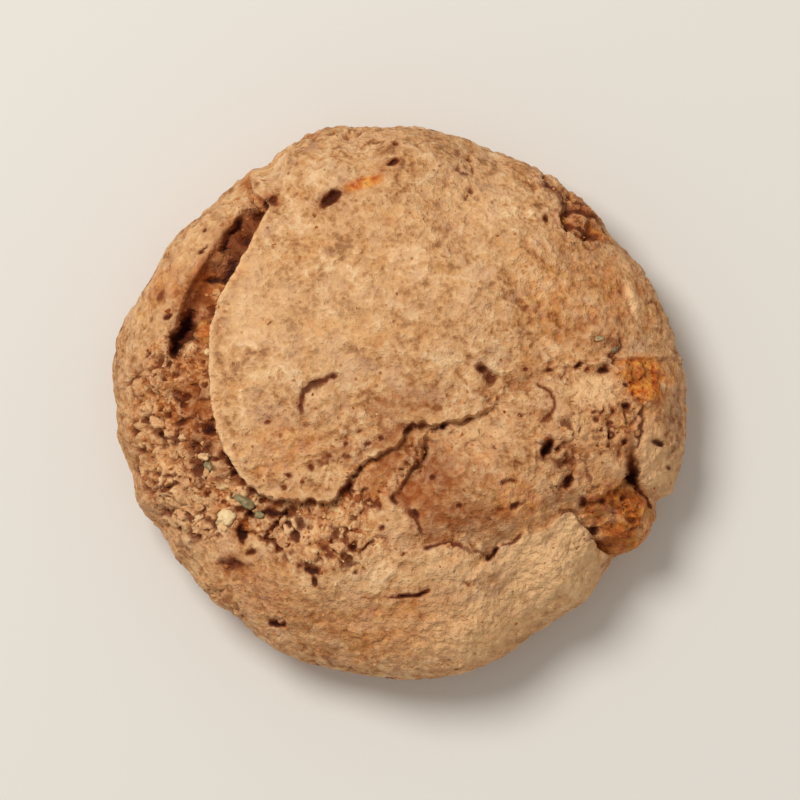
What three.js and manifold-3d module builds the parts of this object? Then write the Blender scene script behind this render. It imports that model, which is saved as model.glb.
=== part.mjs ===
// A walnut cookie: a thick round biscuit, taller in the middle, that stands on its flat underside.
// Its baked crust split while it rose. One large plate of crust, the lid, stands over a groove on
// the left and a porous hollow below it. A piece of walnut pushes up under the skin at the lower
// right, a second plate runs round the front, and the rim is torn open on the right.
import * as THREE from "three";
import { mergeVertices } from "three/addons/utils/BufferGeometryUtils.js";
import Module from "manifold-3d";

// Driving dimensions, in millimetres. X runs to the right, Y to the back and Z up.
const RADIUS = 34; // mean radius of the outline at the waist
const HEIGHT = 24; // underside to crown, before the relief
const FOOT_TRIM = 3; // depth below the underside that is modelled and then cut away

// Fineness of the mesh: cells across the crown, and rows of cells down the side.
const CROWN_CELLS = 54;
const SIDE_ROWS = 8;

// Half of the upright section, as shares of RADIUS and HEIGHT: crown, shoulder, waist and foot.
const SECTION = [
  [0, 1],
  [0.35, 0.975],
  [0.64, 0.89],
  [0.84, 0.75],
  [0.96, 0.55],
  [1, 0.36],
  [0.975, 0.16],
  [0.92, 0],
  [0.86, -FOOT_TRIM / HEIGHT],
];
const SHOULDER = 0.62; // share of the section's length that the crown's cells cover
const WAIST = 0.72; // share of the section's length down to its widest point
const SHARE_TOLERANCE = 1e-6; // how closely a share of the section's length is found

// Shares of the section's length between which the relief fades away down the side.
const FEATURES_END = [0.64, 0.86];
const LUMPS_END = [0.72, 1];

// The outline isn't a true circle: waves per turn, height as a share of the radius, and turn in degrees.
const OUTLINE_WAVES = [
  [2, 0.01, -10],
  [3, 0.01, 12],
  [4, 0.02, 0],
  [6, 0.01, -13],
];

// Lobes of the outline: the angle, the width in degrees and the height as a share of the radius.
const OUTLINE_LOBES = [
  [12, 5, -0.018],
  [28, 6, 0.029],
  [70, 6, -0.021],
  [87, 6, 0.018],
  [108, 6, 0.018],
  [119.5, 3.5, -0.026],
  [148, 10, 0.041],
  [168, 8, 0.034],
  [180, 4, -0.018],
  [201.5, 5, 0.05],
  [218.5, 4, -0.021],
  [243, 6, 0.014],
  [281, 8, -0.013],
  [299.5, 6, -0.022],
  [312.5, 5, 0.035],
  [330.5, 5.5, 0.034],
  [350, 5, 0.015],
];
const LOBE_FADE = 0.75; // how much of a lobe is gone at the foot

// Soft lumps all over the crust: height, then waves per millimetre in x, y and z, then phase.
const LUMPS = [
  [0.34, 0.19, 0.11, 0.21, 0.4],
  [0.3, -0.13, 0.24, 0.17, 2.1],
  [0.22, 0.31, -0.22, 0.12, 4.4],
  [0.16, 0.41, 0.37, -0.33, 1.3],
];

// Steps between two levels of crust. The higher level is on the left as the points run.
// Each point is x, y, the drop, and the reach of the low ground until it has risen again.
const LID_EDGE = [
  [-18.3, 28.2, 0.4, 1.6],
  [-18, 25.6, 1, 2],
  [-16.2, 23.4, 1.6, 2.6],
  [-17.6, 20.2, 2.6, 3.6],
  [-20.2, 15.5, 3, 4.6],
  [-22.4, 11.2, 3.2, 5],
  [-23.4, 6, 3.1, 6.5],
  [-23.1, 0, 2.8, 9],
  [-21.8, -5.2, 2.7, 9.5],
  [-19.4, -10, 2.3, 9],
  [-17, -11.8, 2, 8],
  [-13.5, -12.9, 1.7, 7],
  [-8.2, -13, 1.4, 7],
  [-6.6, -10.4, 1.3, 7],
  [-4, -7.9, 1.2, 7],
  [-0.6, -6, 1.2, 7],
  [1.4, -3.7, 1.3, 7],
  [5.8, -3.7, 1.3, 8],
  [9.4, -2.6, 1, 7],
  [12.2, 0, 0.4, 4],
  [15.5, 2.9, 0.4, 3],
  [22, 3.6, 0.5, 4],
  [27, 4.8, 0.5, 4],
  [32, 5.2, 0.3, 4],
];
const BAND_EDGE = [
  [-1.2, -13.8, 0.2, 3],
  [-0.7, -11.4, 0.9, 3.5],
  [1.4, -8.8, 1, 4],
  [2.7, -6, 0.9, 3],
  [3.1, -4.8, 0.3, 2],
];
const FRONT_PLATE_EDGE = [
  [29, -20.6, 0.6, 3],
  [25.2, -18.8, 1.7, 4],
  [23, -16.4, 1.6, 4],
  [20.3, -14.6, 1, 3],
  [17.5, -16.4, 0.8, 2.6],
  [14.4, -17.8, 0.8, 2.4],
  [11.4, -19.6, 0.9, 2.4],
  [8.2, -18.9, 0.9, 2.6],
  [4.8, -18.3, 0.9, 2.6],
  [1.4, -19.2, 0.6, 2.4],
  [-0.6, -19.8, 0.2, 2],
];
const BACK_TEAR_EDGE = [
  [27.5, 19.4, 0.2, 3],
  [24.4, 19.4, 1.2, 4],
  [21, 19.8, 1.5, 5],
  [19.6, 22, 1.7, 5],
  [19.6, 25, 1.5, 4],
  [17, 27, 1, 3],
  [14.5, 29.8, 0.3, 3],
];
const FACET_EDGE = [
  [21.8, -12.2, 0.2, 2],
  [23.6, -12.3, 0.9, 4],
  [26, -11.3, 1.2, 5],
  [27.6, -10.2, 1.2, 4],
  [27.6, -7.4, 0.3, 2],
];
const RIM_PLATE_EDGE = [
  [29.3, -5.4, 0.2, 1.2],
  [29.8, -9, 1.1, 2],
  [30.6, -12.3, 1.3, 3.5],
  [33, -13.3, 1, 4],
];
const STEP_SPACING = 0.5; // distance between the sampled points of a step
const STEP_SNAP = 0.4; // mesh points nearer than this to a step's line are moved onto it
const STEP_PULL = 1.6; // and those nearer than this are drawn towards it
const STEP_CRISPNESS = 1.3; // more than 1 brings the ones that are drawn closer still
const WALL_WIDTH = 0.9; // how far out the foot of a step's wall lies
const FLOOR_SHARE = 0.45; // share of the reach that is at full depth
const LIP_RISE = 0.35; // height by which a plate's edge curls up
const LIP_WIDTH = 2.2;

// Round swellings and hollows: x, y, length, width, turn in degrees, and height (negative is a hollow).
const WALNUT_SWELLING = [8.8, -11.2, 18, 14.5, -15, 1.9];
const HOLLOWS = [
  [-8.5, 24.4, 5.2, 3, 34, -1.5],
  [18, -6.5, 2.8, 4.6, -25, -1.6],
  [28.7, -9.2, 3, 5.4, 18, -1.8],
  [27.5, -14.8, 5.4, 6.8, -35, -1.8],
  [-27.2, 7.8, 3, 7.2, -20, -2],
  [10.8, 2.2, 2.8, 4.4, 28, -0.8],
];

/** A step between two levels of crust, along a smooth line in plan. */
class Step {
  constructor(rows) {
    const route = new THREE.CatmullRomCurve3(rows.map(([x, y]) => new THREE.Vector3(x, y, 0)));
    const sizes = new THREE.CatmullRomCurve3(
      rows.map(([, , drop, reach]) => new THREE.Vector3(drop, reach, 0)),
    );
    const count = Math.ceil(route.getLength() / STEP_SPACING);
    this.points = route.getPoints(count);
    this.sizes = sizes.getPoints(count);
  }

  /** The line's nearest point to a plan point, which side that is on, and the step's sizes there. */
  nearest(x, y) {
    let best = null;
    for (let i = 1; i < this.points.length; i++) {
      const a = this.points[i - 1];
      const b = this.points[i];
      const run = new THREE.Vector2(b.x - a.x, b.y - a.y);
      const from = new THREE.Vector2(x - a.x, y - a.y);
      const share = THREE.MathUtils.clamp(from.dot(run) / run.lengthSq(), 0, 1);
      const foot = new THREE.Vector2(a.x, a.y).addScaledVector(run, share);
      const distance = Math.hypot(x - foot.x, y - foot.y);
      if (!best || distance < best.distance) {
        const size = this.sizes[i - 1].clone().lerp(this.sizes[i], share);
        const onHighSide = run.cross(from) > 0;
        const pastEnd = (i === 1 && share === 0) || (i === this.points.length - 1 && share === 1);
        best = { distance, foot, onHighSide, pastEnd, drop: size.x, reach: size.y };
      }
    }
    return best;
  }

  /** Height added at a plan point: a curled lip on the high side, and a wall, floor and rise below. */
  height(x, y) {
    const { distance, onHighSide, drop, reach } = this.nearest(x, y);
    const share = Math.min(drop / 2, 1);
    const lip = LIP_RISE * share * Math.exp(-((distance / LIP_WIDTH) ** 2));
    if (onHighSide) return lip;
    const wall = THREE.MathUtils.smoothstep(distance, 0, WALL_WIDTH);
    const rise = THREE.MathUtils.smoothstep(distance, FLOOR_SHARE * reach, reach);
    return lip * (1 - wall) - drop * wall * (1 - rise);
  }

  /** A plan point drawn towards the step, so that the step's wall is steep. */
  pull(point) {
    const { distance, foot, pastEnd } = this.nearest(point.x, point.y);
    if (pastEnd || distance >= STEP_PULL || distance === 0) return;
    const left = Math.max(distance - STEP_SNAP, 0) / (STEP_PULL - STEP_SNAP);
    const closer = STEP_PULL * left ** STEP_CRISPNESS;
    point.sub(foot).multiplyScalar(closer / distance).add(foot);
  }
}

const UP = new THREE.Vector3(0, 0, 1);
const section = new THREE.SplineCurve(
  SECTION.map(([r, z]) => new THREE.Vector2(r * RADIUS, z * HEIGHT)),
);
const steps = [
  LID_EDGE,
  BAND_EDGE,
  FRONT_PLATE_EDGE,
  BACK_TEAR_EDGE,
  FACET_EDGE,
  RIM_PLATE_EDGE,
].map((rows) => new Step(rows));

/** The outline's radius at an angle and a share of the section's length, over the mean radius. */
function outline(angle, share = 0) {
  const wave = ([count, height, turn]) =>
    height * Math.cos(count * (angle - THREE.MathUtils.degToRad(turn)));
  const lobe = ([turn, width, height]) => {
    const away = 2 * Math.sin((angle - THREE.MathUtils.degToRad(turn)) / 2);
    return height * Math.exp(-((away / THREE.MathUtils.degToRad(width)) ** 2));
  };
  const waves = OUTLINE_WAVES.reduce((sum, row) => sum + wave(row), 1);
  const lobes = OUTLINE_LOBES.reduce((sum, row) => sum + lobe(row), 0);
  return waves + lobes * (1 - LOBE_FADE * THREE.MathUtils.smoothstep(share, WAIST, 1));
}

/** The share of the section's length at which the crown has a given radius, by halving. */
function shareAtRadius(radius) {
  let low = 0;
  let high = WAIST;
  while (high - low > SHARE_TOLERANCE) {
    const middle = (low + high) / 2;
    if (section.getPointAt(middle).x < radius) low = middle;
    else high = middle;
  }
  return low;
}

/** A smooth dome that is 1 at the centre of an oval and 0 at its edge. */
function oval(x, y, [cx, cy, length, width, turn]) {
  const offset = new THREE.Vector2(x - cx, y - cy).rotateAround(
    new THREE.Vector2(),
    -THREE.MathUtils.degToRad(turn),
  );
  const away = Math.hypot(offset.x / (length / 2), offset.y / (width / 2));
  return 1 - THREE.MathUtils.smoothstep(away, 0, 1);
}

/** How far the crust's plates stand above or below the smooth body at a point, measured upright. */
function plateHeight(p) {
  return steps.reduce((sum, step) => sum + step.height(p.x, p.y), 0);
}

/** How far the swelling and the hollows stand above or below the smooth body, measured upright. */
function roundHeight(p) {
  const rounds = [WALNUT_SWELLING, ...HOLLOWS];
  return rounds.reduce((sum, row) => sum + row[5] * oval(p.x, p.y, row), 0);
}

/** How far the soft lumps reach out of the smooth body at a point. */
function lumpHeight(p) {
  const wave = ([height, kx, ky, kz, phase]) =>
    height * Math.sin(kx * p.x + ky * p.y + kz * p.z + phase);
  return LUMPS.reduce((sum, row) => sum + wave(row), 0);
}

/** Moves a point of the starting cube to its place on the cookie's crown, side or underside. */
function shapePoint(cube) {
  const { x: a, y: b, z: c } = cube;
  const ring = Math.max(Math.abs(a), Math.abs(b));
  const angle =
    Math.abs(a) >= Math.abs(b)
      ? (Math.PI / 4) * (a === 0 ? 0 : b / a) + (a < 0 ? Math.PI : 0)
      : Math.PI / 2 - ((Math.PI / 4) * a) / b + (b < 0 ? Math.PI : 0);
  const onCrown = c === 1;
  const onUnderside = c === -1;
  const share = onCrown ? SHOULDER * ring : SHOULDER + ((1 - SHOULDER) * (1 - c)) / 2;

  const at = section.getPointAt(share);
  const plan = new THREE.Vector2(Math.cos(angle), Math.sin(angle)).multiplyScalar(
    at.x * outline(angle, share) * (onUnderside ? ring : 1),
  );
  if (onUnderside) return cube.set(plan.x, plan.y, at.y);

  let along = share;
  if (onCrown && ring < 1) {
    steps.forEach((step) => step.pull(plan));
    along = shareAtRadius(plan.length() / outline(plan.angle()));
  }
  const tangent = section.getTangentAt(along);
  const facing = plan.clone().normalize();
  const base = new THREE.Vector3(plan.x, plan.y, section.getPointAt(along).y);
  const normal = new THREE.Vector3(-tangent.y * facing.x, -tangent.y * facing.y, tangent.x);
  const keep = ([start, end]) => 1 - THREE.MathUtils.smoothstep(along, start, end);
  return cube
    .copy(base)
    .addScaledVector(UP, (plateHeight(base) + roundHeight(base)) * keep(FEATURES_END))
    .addScaledVector(normal, lumpHeight(base) * keep(LUMPS_END));
}

/** Splits each four-sided cell along the shorter of its two diagonals, so that walls run clean. */
function splitShortWay(geometry) {
  const position = geometry.getAttribute("position");
  const index = geometry.index;
  const length = (a, b) => {
    const from = new THREE.Vector3().fromBufferAttribute(position, a);
    return from.distanceTo(new THREE.Vector3().fromBufferAttribute(position, b));
  };
  for (let i = 0; i < index.count; i += 6) {
    const [a, b, c, d] = [0, 1, 4, 5].map((corner) => index.getX(i + corner));
    if (length(a, c) < length(b, d)) {
      [a, b, c, a, c, d].forEach((vertex, corner) => index.setX(i + corner, vertex));
    }
  }
}

/** The cookie's body as one closed geometry, a cube reshaped, with its foot below the underside. */
function bodyGeometry() {
  const cube = new THREE.BoxGeometry(2, 2, 2, CROWN_CELLS, CROWN_CELLS, SIDE_ROWS);
  cube.deleteAttribute("normal");
  cube.deleteAttribute("uv");
  const geometry = mergeVertices(cube);
  const position = geometry.getAttribute("position");
  const point = new THREE.Vector3();
  for (let i = 0; i < position.count; i++) {
    shapePoint(point.fromBufferAttribute(position, i));
    position.setXYZ(i, point.x, point.y, point.z);
  }
  splitShortWay(geometry);
  return geometry;
}

/** Everything below the underside, as a block. */
function floorBlock() {
  const side = 4 * RADIUS;
  const block = new THREE.BoxGeometry(side, side, side);
  block.deleteAttribute("normal");
  block.deleteAttribute("uv");
  return mergeVertices(block.translate(0, 0, -side / 2));
}

const wasm = await Module();
wasm.setup();

/** A closed geometry as a manifold-3d solid. */
function toSolid(geometry) {
  return new wasm.Manifold(
    new wasm.Mesh({
      numProp: 3,
      vertProperties: geometry.getAttribute("position").array,
      triVerts: new Uint32Array(geometry.index.array),
    }),
  );
}

/** A manifold-3d solid as a geometry, moved so that its box stands centred on the origin. */
function toCentredGeometry(solid) {
  const mesh = solid.getMesh();
  const geometry = new THREE.BufferGeometry()
    .setAttribute("position", new THREE.BufferAttribute(mesh.vertProperties, 3))
    .setIndex(new THREE.BufferAttribute(mesh.triVerts, 1));
  geometry.computeBoundingBox();
  const centre = geometry.boundingBox.getCenter(new THREE.Vector3());
  geometry.translate(-centre.x, -centre.y, 0);
  geometry.computeVertexNormals();
  return geometry;
}

const crust = new THREE.MeshStandardMaterial({ color: "#b78356", roughness: 0.85, metalness: 0 });
const cookie = new THREE.Mesh(
  toCentredGeometry(toSolid(bodyGeometry()).subtract(toSolid(floorBlock()))),
  crust,
);
cookie.name = "cookie";

const part = new THREE.Group();
part.add(cookie);
export default part;
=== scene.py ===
"""A walnut cookie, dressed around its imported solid.

One large plate of crust, the lid, stands over a groove on the left and a porous hollow below it.
A piece of walnut pushes up under the skin at the lower right, a second plate runs round the front,
and the rim is torn open on the right. Shapes are worked out in millimetres, X to the right, Y to
the back and Z up, and put into the meshes in metres.
"""

import itertools
import math

import bpy
import numpy as np
from bpy.props import FloatProperty, FloatVectorProperty, IntProperty, PointerProperty
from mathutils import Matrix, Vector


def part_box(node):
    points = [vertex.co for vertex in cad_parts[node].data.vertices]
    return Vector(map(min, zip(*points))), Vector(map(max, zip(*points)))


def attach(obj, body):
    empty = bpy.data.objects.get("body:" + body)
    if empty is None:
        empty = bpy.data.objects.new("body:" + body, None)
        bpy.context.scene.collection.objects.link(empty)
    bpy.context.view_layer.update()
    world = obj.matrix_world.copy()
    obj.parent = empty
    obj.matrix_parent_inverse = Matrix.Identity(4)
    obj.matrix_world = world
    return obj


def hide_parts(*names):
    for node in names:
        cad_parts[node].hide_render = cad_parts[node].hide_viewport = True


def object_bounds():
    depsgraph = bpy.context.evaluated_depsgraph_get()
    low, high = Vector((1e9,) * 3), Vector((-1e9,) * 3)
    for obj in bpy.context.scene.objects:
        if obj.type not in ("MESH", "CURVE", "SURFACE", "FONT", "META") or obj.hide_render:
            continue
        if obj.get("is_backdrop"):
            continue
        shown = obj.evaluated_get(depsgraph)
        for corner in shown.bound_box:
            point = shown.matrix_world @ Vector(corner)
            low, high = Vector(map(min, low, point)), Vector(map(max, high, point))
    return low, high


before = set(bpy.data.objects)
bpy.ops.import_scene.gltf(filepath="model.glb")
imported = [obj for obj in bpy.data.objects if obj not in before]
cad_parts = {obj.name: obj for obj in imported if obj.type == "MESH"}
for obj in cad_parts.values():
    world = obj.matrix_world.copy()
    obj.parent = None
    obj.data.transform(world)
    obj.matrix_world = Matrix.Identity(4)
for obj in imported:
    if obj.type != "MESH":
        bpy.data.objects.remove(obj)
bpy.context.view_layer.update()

bl_info = {
    "name": "Walnut Cookie",
    "version": (1, 0, 0),
    "blender": (4, 5, 0),
    "location": "3D View > Sidebar > Walnut Cookie",
    "description": "Builds a cracked walnut cookie with crust, crumb, grains and bits of walnut",
    "category": "Object",
}

MM = 0.001  # metres in a millimetre
FAR = 1e3  # further than anything on the cookie, in millimetres
TINY = 1e-6  # a length too short to divide by
FITTED_BY = np.array([0.05, 0.12])  # how far fitting to the solid's box moves the body in plan
DRIFT_LIMIT = 0.04  # the most that fitting to the solid's box may stretch the body, as a share

# --------------------------------------------------------------------------- the body's form

# Half of the upright section, as shares of the radius and the height: crown, shoulder and foot.
SECTION = [
    (0, 1), (0.35, 0.975), (0.64, 0.89), (0.84, 0.75), (0.96, 0.55),
    (1, 0.36), (0.975, 0.16), (0.92, 0), (0.86, -0.125),
]
SECTION_SAMPLES = 4001  # points in which the section is measured
SHOULDER = 0.62  # share of the section's length that the crown's cells cover
WAIST = 0.72  # share of the section's length down to its widest point
FEATURES_END = (0.64, 0.86)  # where plates, holes and cracks fade away down the side
LUMPS_END = (0.72, 1)  # where the soft lumps fade away
STAINS_END = (0.66, 0.8)  # where stains and toasting fade away
CREST_ROUNDS = 8  # rounds of smoothing from which crests and dips are measured

# Waves of the outline: number per turn, height as a share of the radius, and turn in degrees.
OUTLINE_WAVES = [(2, 0.01, -10), (3, 0.01, 12), (4, 0.02, 0), (6, 0.01, -13)]
# Lobes of the outline: angle in degrees, width in degrees, height as a share of the radius.
OUTLINE_LOBES = [
    (12, 5, -0.018), (28, 6, 0.029), (70, 6, -0.021), (87, 6, 0.018), (108, 6, 0.018),
    (119.5, 3.5, -0.026), (148, 10, 0.041), (168, 8, 0.034), (180, 4, -0.018),
    (201.5, 5, 0.05), (218.5, 4, -0.021), (243, 6, 0.014), (281, 8, -0.013),
    (299.5, 6, -0.022), (312.5, 5, 0.035), (324, 2.4, -0.018), (330.5, 5.5, 0.034),
    (338.6, 2.2, -0.024), (341.4, 1.4, 0.012), (350, 5, 0.015),
]
LOBE_FADE = 0.75  # how much of a lobe is gone at the foot
FOOT_RISE = 2.5  # height in millimetres over which the crust's roughness sets in
LINE_WIDTH = 0.75  # how far from a plate's edge the body's points are drawn towards it
LINE_SNAP = 0.12  # how near to a plate's edge they are put on it
LINE_CRISPNESS = 1.3  # how strongly they crowd beside it
SINK = 0.2  # how far the whole relief is let into the smooth body

# Soft lumps all over the crust: height, then waves per millimetre in x, y and z, then phase.
LUMPS = [
    (0.34, 0.19, 0.11, 0.21, 0.4), (0.3, -0.13, 0.24, 0.17, 2.1), (0.22, 0.31, -0.22, 0.12, 4.4),
    (0.16, 0.41, 0.37, -0.33, 1.3),
]

# Edges of the plates of crust. The higher level is on the left as the points run.
# Each point is x, y, the drop, the reach of the low ground, how bare it is, and the line's fray.
LID_EDGE = [
    (-18.3, 28.2, 0.1, 1.6, 0.3, 0.1), (-18, 25.6, 0.9, 2, 1, 0.1), (-16.2, 23.4, 1.6, 2.6, 1, 0.2),
    (-17.6, 20.2, 2.6, 3.6, 1, 0.1), (-20.2, 15.5, 3, 4.6, 1, 0.1), (-22.4, 11.2, 3.2, 5, 1, 0.1),
    (-23.4, 6, 3.1, 6.5, 1, 0.1), (-23.1, 0, 2.8, 9, 1, 0.1), (-21.8, -5.2, 2.7, 9.5, 1, 0.1),
    (-19.4, -10, 2.3, 9, 1, 0.15), (-17, -11.8, 2, 8, 1, 0.4), (-13.5, -12.9, 1.7, 7, 1, 0.5),
    (-10.6, -12.6, 1.5, 7, 1, 0.5), (-8.2, -13, 1.3, 7, 1, 0.4), (-6.8, -10.6, 1.1, 7, 1, 0.4),
    (-4.2, -7.9, 0.95, 7, 1, 0.4), (-0.6, -6, 0.95, 7, 1, 0.4), (1.2, -3.8, 1.1, 7, 0.8, 0.4),
    (4, -3.5, 1.2, 8, 0.5, 0.35), (5.8, -3.4, 1.1, 8, 0.4, 0.35), (9, -2.7, 0.9, 7, 0.4, 0.4),
    (10.8, -1.4, 0.6, 4, 0.4, 0.3), (12.4, 0.4, 0.25, 3, 0.4, 0.3), (15.5, 2.9, 0.3, 3, 0.6, 0.4),
    (22, 3.6, 0.5, 4, 0.7, 0.45), (27, 4.8, 0.5, 4, 0.9, 0.4), (32, 5.2, 0.3, 4, 0.8, 0.2),
]
BAND_EDGE = [
    (-0.6, -13.6, 0.2, 3, 0.3, 0.2), (-1.1, -12.4, 0.6, 3.5, 0.3, 0.45),
    (-0.3, -11, 0.7, 3.5, 0.3, 0.45), (0.7, -9.8, 0.8, 4, 0.3, 0.45), (1.5, -8.9, 1, 4, 0.3, 0.4),
    (2.3, -7.5, 1, 4, 0.3, 0.4), (2.7, -6, 0.9, 3, 0.3, 0.3), (3.1, -4.8, 0.4, 2, 0.3, 0.2),
]
FRONT_RIGHT_EDGE = [
    (29, -20.6, 0.6, 3, 0.8, 0.2), (25.2, -18.8, 1.7, 4, 0.8, 0.3), (23, -16.4, 1.6, 4, 0.8, 0.3),
    (20.3, -14.6, 1, 3, 0.3, 0.3), (17.5, -16.6, 0.7, 2.4, 0.1, 0.35),
    (15.6, -16.9, 0.7, 2.2, 0.1, 0.3), (14.2, -18.2, 0.6, 2, 0.1, 0.3),
    (12.4, -18.8, 0.6, 2, 0.1, 0.25), (11.2, -20, 0.7, 2, 0.1, 0.2), (9.9, -21.3, 0.5, 2, 0.1, 0.2),
    (9, -22.8, 0.2, 2, 0.1, 0.1),
]
FRONT_LEFT_EDGE = [
    (11.2, -20.2, 0.3, 2, 0.1, 0.1), (9.8, -19.5, 0.5, 2.4, 0.1, 0.2),
    (8, -18.9, 0.5, 2.6, 0.1, 0.3), (5.6, -18.3, 0.55, 2.6, 0.1, 0.3),
    (4.3, -18.6, 0.7, 2.6, 0.2, 0.3), (3.2, -19, 0.7, 2.4, 0.2, 0.3),
    (1.4, -19.2, 0.6, 2.4, 0.3, 0.3), (-0.6, -19.8, 0.2, 2, 0.3, 0.2),
]
BACK_TEAR_EDGE = [
    (27.5, 19.4, 0.2, 3, 0.6, 0.1), (24.4, 19.4, 0.7, 4, 1, 0.3), (21, 19.8, 0.9, 5, 1, 0.3),
    (19.6, 22, 1, 5, 1, 0.3), (19.6, 25, 0.9, 4, 1, 0.3), (17, 27, 0.6, 3, 1, 0.3),
    (14.5, 29.8, 0.3, 3, 0.6, 0.2),
]
FACET_EDGE = [
    (21.6, -12.2, 0.2, 2, 0.6, 0.2), (23.6, -12.4, 0.7, 4, 0.8, 0.35),
    (24.7, -11.7, 0.8, 5, 1, 0.3), (26, -11.2, 0.9, 5, 1, 0.3), (27.6, -10.4, 0.9, 4, 1, 0.35),
    (27.9, -8.9, 0.8, 2, 1, 0.3), (27.5, -7.2, 0.3, 1.5, 0.8, 0.2),
]
RIM_PLATE_EDGE = [
    (29.3, -5.4, 0.2, 1.2, 0.8, 0.2), (29.6, -7.6, 0.8, 1.6, 1, 0.3), (29.9, -9.6, 0.9, 2, 1, 0.35),
    (30.3, -11.8, 0.9, 3, 1, 0.35), (31.2, -13, 0.9, 4, 1, 0.3), (33, -13.3, 0.7, 4, 1, 0.25),
]
PLATE_EDGES = [
    LID_EDGE, BAND_EDGE, FRONT_RIGHT_EDGE, FRONT_LEFT_EDGE, BACK_TEAR_EDGE, FACET_EDGE,
    RIM_PLATE_EDGE,
]

# The groove's outer wall, from its top to its foot, and how wholly the rim stands beyond it.
RIM_WALL = [
    (-18, 26, 0), (-18.2, 24.6, 0.6), (-19, 22.8, 0.9), (-21.1, 20, 1), (-22.9, 17.2, 1),
    (-24.1, 14.9, 1), (-25.6, 13, 1), (-26.6, 10.8, 1), (-27.8, 8.4, 1), (-28.8, 5.8, 0.9),
    (-29, 3, 0),
]

# Round swellings and hollows: x, y, length, width, turn in degrees, height (negative is a hollow).
SWELLINGS = [
    (8.8, -11.2, 18, 14.5, -15, 1.9), (13, -10.5, 3.2, 2.6, 20, 0.35), (14.5, -13.6, 5, 3, 30, 0.3),
    (-22.2, 16.8, 4.2, 1.8, 50, 0.9), (-24.8, 8.4, 2.6, 3.4, 0, 0.7), (9.6, 11.6, 7, 4.6, 35, 0.35),
    (28.8, -9.3, 2.6, 5, 18, -1), (27.5, -14.8, 5, 6.4, -35, -1.3), (20.5, -21.5, 16, 9, 42, 0.8),
    (-26.8, 7.8, 2.6, 7, -20, -1.2), (29.2, 12.4, 1.5, 6.6, 12, 0.5), (10.8, 2.2, 2.4, 4, 28, -0.7),
    (21.5, -3, 9, 5, -20, 0.5),
]

# --------------------------------------------------------------------------- small features

# How far from a plate's edge, the rim's wall and a crack their own relief may reach.
PLATE_REACH, RIM_REACH, CRACK_REACH = 10, 8, 3
PATCH_EDGE = (0.55, 1.45)  # where a patch begins and ends to fade, as shares of the way out
RIDGE_TURN = 40  # the way the soft ridges on top run, in degrees
RIDGE_STRETCH = 2.2  # how many times as long as wide they are

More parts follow.
